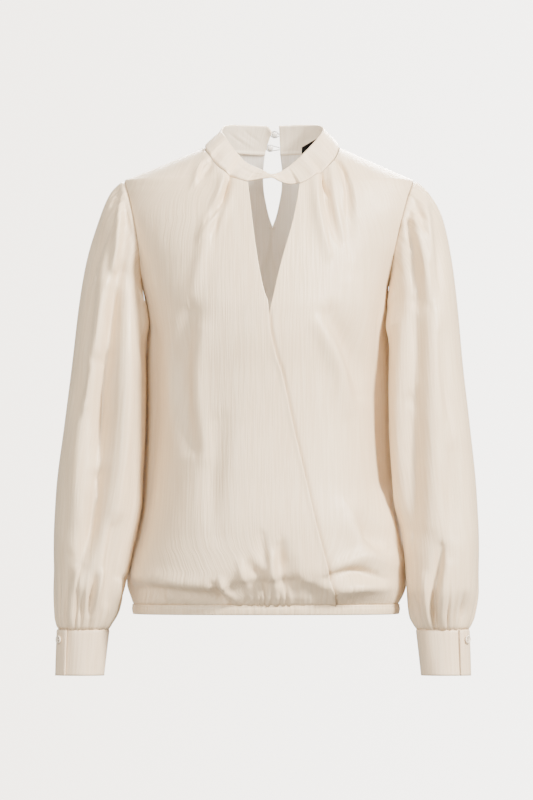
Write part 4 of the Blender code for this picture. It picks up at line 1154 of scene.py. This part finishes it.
def make_sleeves(sides):
    for name, side in (("sleeve_right", -1), ("sleeve_left", 1)):
        def ring(u, v, side=side):
            return sleeve_point(side, u % 1.0, v)

        def middle(point, side=side):
            return sleeve_point(side, np.array([0.0, 0.25, 0.5, 0.75]), 0.5).mean(axis=0)

        grid_shell(name + "_cloth", [(SLEEVE_GRID, ring, middle, tube_grain(330.0, 610.0))],
                   CLOTH, sides, name)


def cuff_middle(row):
    return np.array([(row[2] + row[3]) / 2, CUFF_Y, 0.0])


def make_cuffs(satin):
    for row in CUFFS:
        def ring(u, v, row=row):
            return cuff_point(row, CUFF_OPENING_TURN + u * (1 + CUFF_LAP_TURN), v)

        grid_shell(row[0] + "_cloth", [(CUFF_GRID, ring, level_with(cuff_middle(row)),
                                        tube_grain(220.0, CUFF_HEIGHT))],
                   BAND, [satin], row[0])


def make_collar(sides):
    grid_shell("collar_cloth", [(COLLAR_GRID, collar_point, level_with(NECK_MIDDLE),
                                 tube_grain(430.0, 40.0))],
               BAND, sides, "collar")


def make_hem_band(satin):
    def ring(u, v):
        return band_point(u * 4.0 - 1.0, BAND_FOOT + (BAND_TOP - BAND_FOOT) * v)

    grid_shell("hem_band_cloth", [(BAND_GRID, ring, level_with(BODY_MIDDLE),
                                   tube_grain(900.0, 13.0))],
               CASING, [satin], "hem_band")


def stage(paper):
    """Pale floor that sweeps up into a plain wall, facing the camera. Only the camera sees
    it, so that the cloth is lit by the lamps and the sky alone."""
    bm = bmesh.new()
    bmesh.ops.create_grid(bm, x_segments=2, y_segments=len(STAGE_PROFILE) - 1,
                          size=STAGE_HALF_WIDTH)
    for vert in bm.verts:
        row = round((vert.co.y / STAGE_HALF_WIDTH + 1) / 2 * (len(STAGE_PROFILE) - 1))
        vert.co.y, vert.co.z = STAGE_PROFILE[row]
    obj = finished("studio sweep", bm, paper)
    for rays in ("diffuse", "glossy", "transmission", "shadow"):
        setattr(obj, "visible_" + rays, False)


def soft_light(name, place, size, watts, target, colour):
    data = bpy.data.lights.new(name, "AREA")
    data.shape = "DISK"
    data.size = size
    data.energy = watts
    data.color = colour
    lamp = bpy.data.objects.new(name, data)
    lamp.location = place
    aim = Vector(target) - Vector(place)
    lamp.rotation_euler = aim.to_track_quat("-Z", "Y").to_euler()
    bpy.context.scene.collection.objects.link(lamp)


def camera():
    data = bpy.data.cameras.new("camera")
    data.lens = CAMERA_LENS
    data.clip_end = 60.0
    obj = bpy.data.objects.new("camera", data)
    obj.location = (-0.00325, -CAMERA_DISTANCE, -0.329)
    obj.rotation_euler = (math.radians(90), 0.0, 0.0)
    bpy.context.scene.collection.objects.link(obj)
    bpy.context.scene.camera = obj


def collar_rise(along, height):
    """How far up the collar lies at this height."""
    foot, top = collar_point(along, 0.0)[2], collar_point(along, 1.0)[2]
    return (height - foot) / (top - foot)


def neck_button_seat(x, height):
    """A button's centre and the lean of the collar, whose right end it sits on."""
    end = collar_point(0.0, collar_rise(0.0, height))
    run = collar_point(0.0, 1.0) - collar_point(0.0, 0.0)
    lean = math.atan2(-run[1], run[2])
    out = np.array([0.0, math.cos(lean), math.sin(lean)])
    return np.array([x, end[1], height]) + out * NECK_BUTTON_SEAT, lean


def placed(bm, turn, place):
    """Turns a mesh about the origin and moves it to its place, both in its vertices."""
    bmesh.ops.transform(bm, matrix=Matrix.Translation(Vector(place) * MM) @ turn,
                        verts=bm.verts[:])


def turned_profile(bm, outline, segments):
    """Spins a profile of (radius, height) once round Z and closes it."""
    verts = [bm.verts.new((r * MM, 0.0, h * MM)) for r, h in outline]
    edges = [bm.edges.new(pair) for pair in zip(verts[:-1], verts[1:])]
    bmesh.ops.spin(bm, geom=verts + edges, cent=(0, 0, 0), axis=(0, 0, 1),
                   angle=math.tau, steps=segments, use_merge=True)
    bmesh.ops.remove_doubles(bm, verts=bm.verts[:], dist=1e-6)
    bmesh.ops.recalc_face_normals(bm, faces=bm.faces[:])


def make_neck_buttons(pearl):
    """Small domed buttons, each with a rounded rim."""
    r, t = NECK_BUTTON_RADIUS, NECK_BUTTON_THICK / 2
    dome = [(r * math.sin(a), t * math.cos(a) ** 0.9)
            for a in np.linspace(0.0, math.pi / 2, 10)]
    under = [(r * 0.96, -t * 0.3), (r * 0.80, -t * 0.75), (r * 0.4, -t), (0.0, -t)]
    for name, x, height in NECK_BUTTONS:
        centre, lean = neck_button_seat(x, height)
        bm = bmesh.new()
        turned_profile(bm, dome + under, 36)
        placed(bm, Matrix.Rotation(lean - math.pi / 2, 4, "X"), centre)
        button = finished("neck_button_" + name + "_pearl", bm, pearl)
        carried(button, "neck_button_" + name)


def cuff_button_frame(row):
    """Centre of a cuff button and the way that it faces."""
    turn = CUFF_OPENING_TURN + 1 + CUFF_LAP_TURN * 0.45
    here, beside = (cuff_point(row, np.array(t), np.array(0.22)) for t in (turn, turn + STEP))
    run = beside - here
    out = np.array([-run[1], run[0], 0.0]) / np.linalg.norm(run[:2])
    if np.dot(out, here - cuff_middle(row)) < 0:
        out = -out
    return here + out * (0.55 + CUFF_BUTTON_THICK / 2), out


def make_cuff_buttons(pearl, thread):
    """Flat four-hole buttons with a raised rim, sewn on with crossed thread."""
    r, t = CUFF_BUTTON_RADIUS, CUFF_BUTTON_THICK / 2
    outline = [(0.0, t * 0.35), (r * 0.62, t * 0.35), (r * 0.72, t * 0.75), (r * 0.82, t),
               (r * 0.92, t * 0.9), (r, t * 0.3), (r, -t * 0.3), (r * 0.9, -t), (0.0, -t)]
    for row in CUFFS:
        centre, out = cuff_button_frame(row)
        turn = Vector(out).to_track_quat("Z", "Y").to_matrix().to_4x4()
        bm = bmesh.new()
        turned_profile(bm, outline, 40)
        placed(bm, turn, centre)
        button = finished(row[0] + "_button_pearl", bm, pearl)
        cutter_mesh = bmesh.new()
        for i in range(4):
            angle = math.radians(45 + 90 * i)
            spot = Matrix.Translation((BUTTON_HOLE_OUT * MM * math.cos(angle),
                                       BUTTON_HOLE_OUT * MM * math.sin(angle), 0.0))
            bmesh.ops.create_cone(cutter_mesh, cap_ends=True, segments=14, depth=8 * MM,
                                  radius1=BUTTON_HOLE * MM / 2, radius2=BUTTON_HOLE * MM / 2,
                                  matrix=spot)
        placed(cutter_mesh, turn, centre)
        cut_away(button, cutter_mesh)
        carried(button, row[0] + "_button")
        make_cross_stitch(row[0] + "_button_thread", turn, centre, thread)


def cut_away(obj, cutter_mesh):
    """Boolean difference, applied, with a cutter that is removed again."""
    cutter = finished("cutter", cutter_mesh, obj.data.materials[0])
    tool = obj.modifiers.new("holes", "BOOLEAN")
    tool.operation, tool.object = "DIFFERENCE", cutter
    graph = bpy.context.evaluated_depsgraph_get()
    mesh = bpy.data.meshes.new_from_object(obj.evaluated_get(graph))
    obj.modifiers.clear()
    obj.data = mesh
    bpy.data.objects.remove(cutter)


def make_cross_stitch(name, turn, centre, thread):
    """Two crossed bars of thread between a button's holes."""
    bm = bmesh.new()
    for angle in (45, 135):
        a = math.radians(angle)
        along = Matrix.Rotation(a, 4, "Z") @ Matrix.Rotation(math.pi / 2, 4, "Y")
        lift = Matrix.Translation((0.0, 0.0, CUFF_BUTTON_THICK / 2 * 0.5 * MM))
        bmesh.ops.create_cone(bm, cap_ends=True, segments=10, depth=2 * BUTTON_HOLE_OUT * MM,
                              radius1=0.28 * MM, radius2=0.28 * MM, matrix=lift @ along)
    placed(bm, turn, centre)
    carried(finished(name, bm, thread))


def stitch_row(curve, points, outs, length, gap, thick):
    """Short lengths of thread laid end to end along a line on the cloth, each bowed up in
    its middle and going into the cloth at its ends."""
    steps = np.linalg.norm(np.diff(points, axis=0), axis=1)
    run = np.concatenate([[0.0], np.cumsum(steps)])
    starts = np.arange(gap, run[-1] - length, length + gap)
    ends = []
    for share, rise in ((0.0, -0.4), (0.5, 0.5), (1.0, -0.4)):
        at = starts + share * length
        place = np.stack([np.interp(at, run, points[:, k]) for k in range(3)], axis=-1)
        out = np.stack([np.interp(at, run, outs[:, k]) for k in range(3)], axis=-1)
        ends.append(place + out * (rise * thick))
    for stitch in zip(*ends):
        spline = curve.splines.new("POLY")
        spline.points.add(2)
        for point, spot, swell in zip(spline.points, stitch, (0.5, 1.0, 0.5)):
            point.co = (*(spot * MM), 1.0)
            point.radius = swell * thick


def surface_line(point, a, b):
    """Points of a surface along a line of its two places, and the way out at each."""
    a, b = np.broadcast_arrays(np.asarray(a, float), np.asarray(b, float))
    points = point(a, b)
    across = point(a + STEP, b) - point(a - STEP, b)
    along = point(a, b + STEP) - point(a, b - STEP)
    out = np.cross(across, along)
    return points, out / np.linalg.norm(out, axis=-1, keepdims=True)


def outward(points, outs, middle):
    """The same line with its outs turned away from the middle of the hollow."""
    flip = np.sum(outs * (points - middle), axis=-1, keepdims=True) < 0
    return points, np.where(flip, -outs, outs)


def make_stitching(thread):
    """Gathering stitches at the sleeve heads, edge stitches on cuffs, collar and hem band,
    and the bar tack below the slit in the back."""
    rows = bpy.data.curves.new("seam_stitches", "CURVE")
    rows.dimensions = "3D"
    rows.bevel_depth = MM
    rows.bevel_resolution = 1
    rows.use_fill_caps = True

    def sew(point, a, b, middle, length, gap, thick, depth=0.0):
        points, outs = outward(*surface_line(point, a, b), middle)
        stitch_row(rows, points - outs * depth, outs, length, gap, thick)

    for side in (-1, 1):
        sew(partial(sleeve_point, side), np.linspace(-0.16, 0.24, 90) % 1.0, 0.011,
            np.array([side * 190.0, 0.0, -120.0]), 2.4, 2.2, 0.24)
    for row in CUFFS:
        cuff = partial(cuff_point, row)
        middle = cuff_middle(row) + (0.0, 0.0, CUFF_TOP - CUFF_HEIGHT / 2)
        last = CUFF_OPENING_TURN + 1.09
        turns = np.linspace(CUFF_OPENING_TURN + CUFF_LAP_TURN + 0.02, last, 160)
        for drop in (0.045, 0.955):
            sew(cuff, turns, drop, middle, 2.2, 0.9, 0.22)
        sew(cuff, last, np.linspace(0.05, 0.95, 30), middle, 2.2, 0.9, 0.22)
    sew(band_point, np.linspace(-0.99, 3.0, 900), BAND_TOP - 2.6,
        BODY_MIDDLE + (0.0, 0.0, -600.0), 2.6, 1.2, 0.24)
    for start, end in ((0.01, 0.475), (0.605, 0.99)):
        sew(collar_point, np.linspace(start, end, 200), 0.13, NECK_MIDDLE, 2.2, 1.0, 0.2)
    for z in (-103.6, -105.0):
        for depth in (0.0, CLOTH + 0.3):
            sew(body_point, quarter_at(np.linspace(-1.0, 10.0, 12) + 0.4, z, True), z,
                np.array([0.0, 0.0, -100.0]), 1.6, 0.3, 0.3, depth)
    rows.materials.append(thread)
    stitches = bpy.data.objects.new("seam_stitches", rows)
    bpy.context.scene.collection.objects.link(stitches)
    carried(stitches)


def make_label(woven):
    """Bare woven label, its top held in the collar and its foot hanging free."""
    share = np.linspace(0.0, 1.0, LABEL_GRID[0] + 1)
    x = LABEL_X[0] + (LABEL_X[1] - LABEL_X[0]) * share
    z = LABEL_TOP[0] + (LABEL_TOP[1] - LABEL_TOP[0]) * share
    low, high = np.full(x.shape, SIDE_LEFT + 0.01), np.full(x.shape, 0.99)
    for _ in range(40):
        middle = (low + high) / 2
        foot, top = collar_point(middle, 0.0), collar_point(middle, 1.0)
        rise = (z - foot[:, 2]) / (top[:, 2] - foot[:, 2])
        beyond = collar_point(middle, rise)[:, 0] > x
        low, high = np.where(beyond, middle, low), np.where(beyond, high, middle)
    face, outs = surface_line(collar_point, middle, rise)
    face, outs = outward(face, outs, NECK_MIDDLE)
    face = face - outs * (BAND + 0.5)

    def sheet(u, v):
        drop = (1 - v)[..., None]
        curl = 0.8 * np.sin(math.pi * v)[..., None] * np.array([-0.35, -0.75, 0.0])
        at = np.round(u * LABEL_GRID[0]).astype(int)
        return face[at] - np.array([0.0, LABEL_LEAN, LABEL_DROP]) * drop + curl

    def into_neck(point):
        return point + np.array([35.0, 75.0, 0.0])

    grid_shell("neck_label_woven", [(LABEL_GRID, sheet, into_neck,
                                     tube_grain(57.0, LABEL_DROP))],
               LABEL_WALL, [woven], "neck_label")


def dye_neck_loops(thread):
    """The solids' own loops, in a grey thread colour made darker still as painted shade."""
    for name, _, _ in NECK_BUTTONS:
        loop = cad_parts["neck_loop_" + name]
        loop.data.materials.clear()
        loop.data.materials.append(thread)


def studio_sky():
    world = bpy.data.worlds.new("studio")
    world.use_nodes = True
    sky = world.node_tree.nodes["Background"]
    sky.inputs["Color"].default_value = srgb("#f4f2ee")
    sky.inputs["Strength"].default_value = 0.85
    bpy.context.scene.world = world


def main():
    satin = satin_crepe("ivory satin crepe", "#ebd2ae", "#e2c7a1", 0.32)
    # The reverse is matt. Its paler, whiter colour is painted light on the garment's shaded
    # inner side.
    reverse = satin_crepe("matt reverse of ivory satin crepe with painted light", "#faf6ef", "#f2ece2", 0.20)
    smooth_satin = satin_crepe("interfaced ivory satin crepe", "#ecd3b0", "#e3c8a4", 0.16)
    # The collar's inner face is a paler copy of the satin, as painted light on a face in shade.
    inner_collar_satin_with_painted_light = satin_crepe("inner collar satin crepe with painted light", "#f0e2cb", "#e8d8bf", 0.16)
    thread = twisted_thread("ivory polyester thread", "#cdbda6", "#e6d9c6", 1.1)
    # The loop thread is grey, and darker still as painted shade.
    loop_thread_with_painted_shade = twisted_thread("grey loop thread darkened with painted shade", "#3c362f", "#71685e", 1.1)
    # The last colour of each pearl is painted shade, laid towards the button's rim.
    pearl = pearly_polyester("pearly polyester", "#e3dacb", "#f6f1e9", "#4b443b")
    tinted_pearl = pearly_polyester("cream pearly polyester", "#d9c7ae", "#ead9c2", "#a8977f")
    woven = woven_black("black damask label")
    make_body([satin, reverse])
    make_sleeves([satin, reverse])
    make_cuffs(smooth_satin)
    make_collar([smooth_satin, inner_collar_satin_with_painted_light])
    make_hem_band(satin)
    make_neck_buttons(pearl)
    make_cuff_buttons(tinted_pearl, thread)
    make_label(woven)
    make_stitching(thread)
    dye_neck_loops(loop_thread_with_painted_shade)
    stage(lit_paper())
    for lamp in LAMPS:
        soft_light(*lamp)
    studio_sky()
    camera()


main()
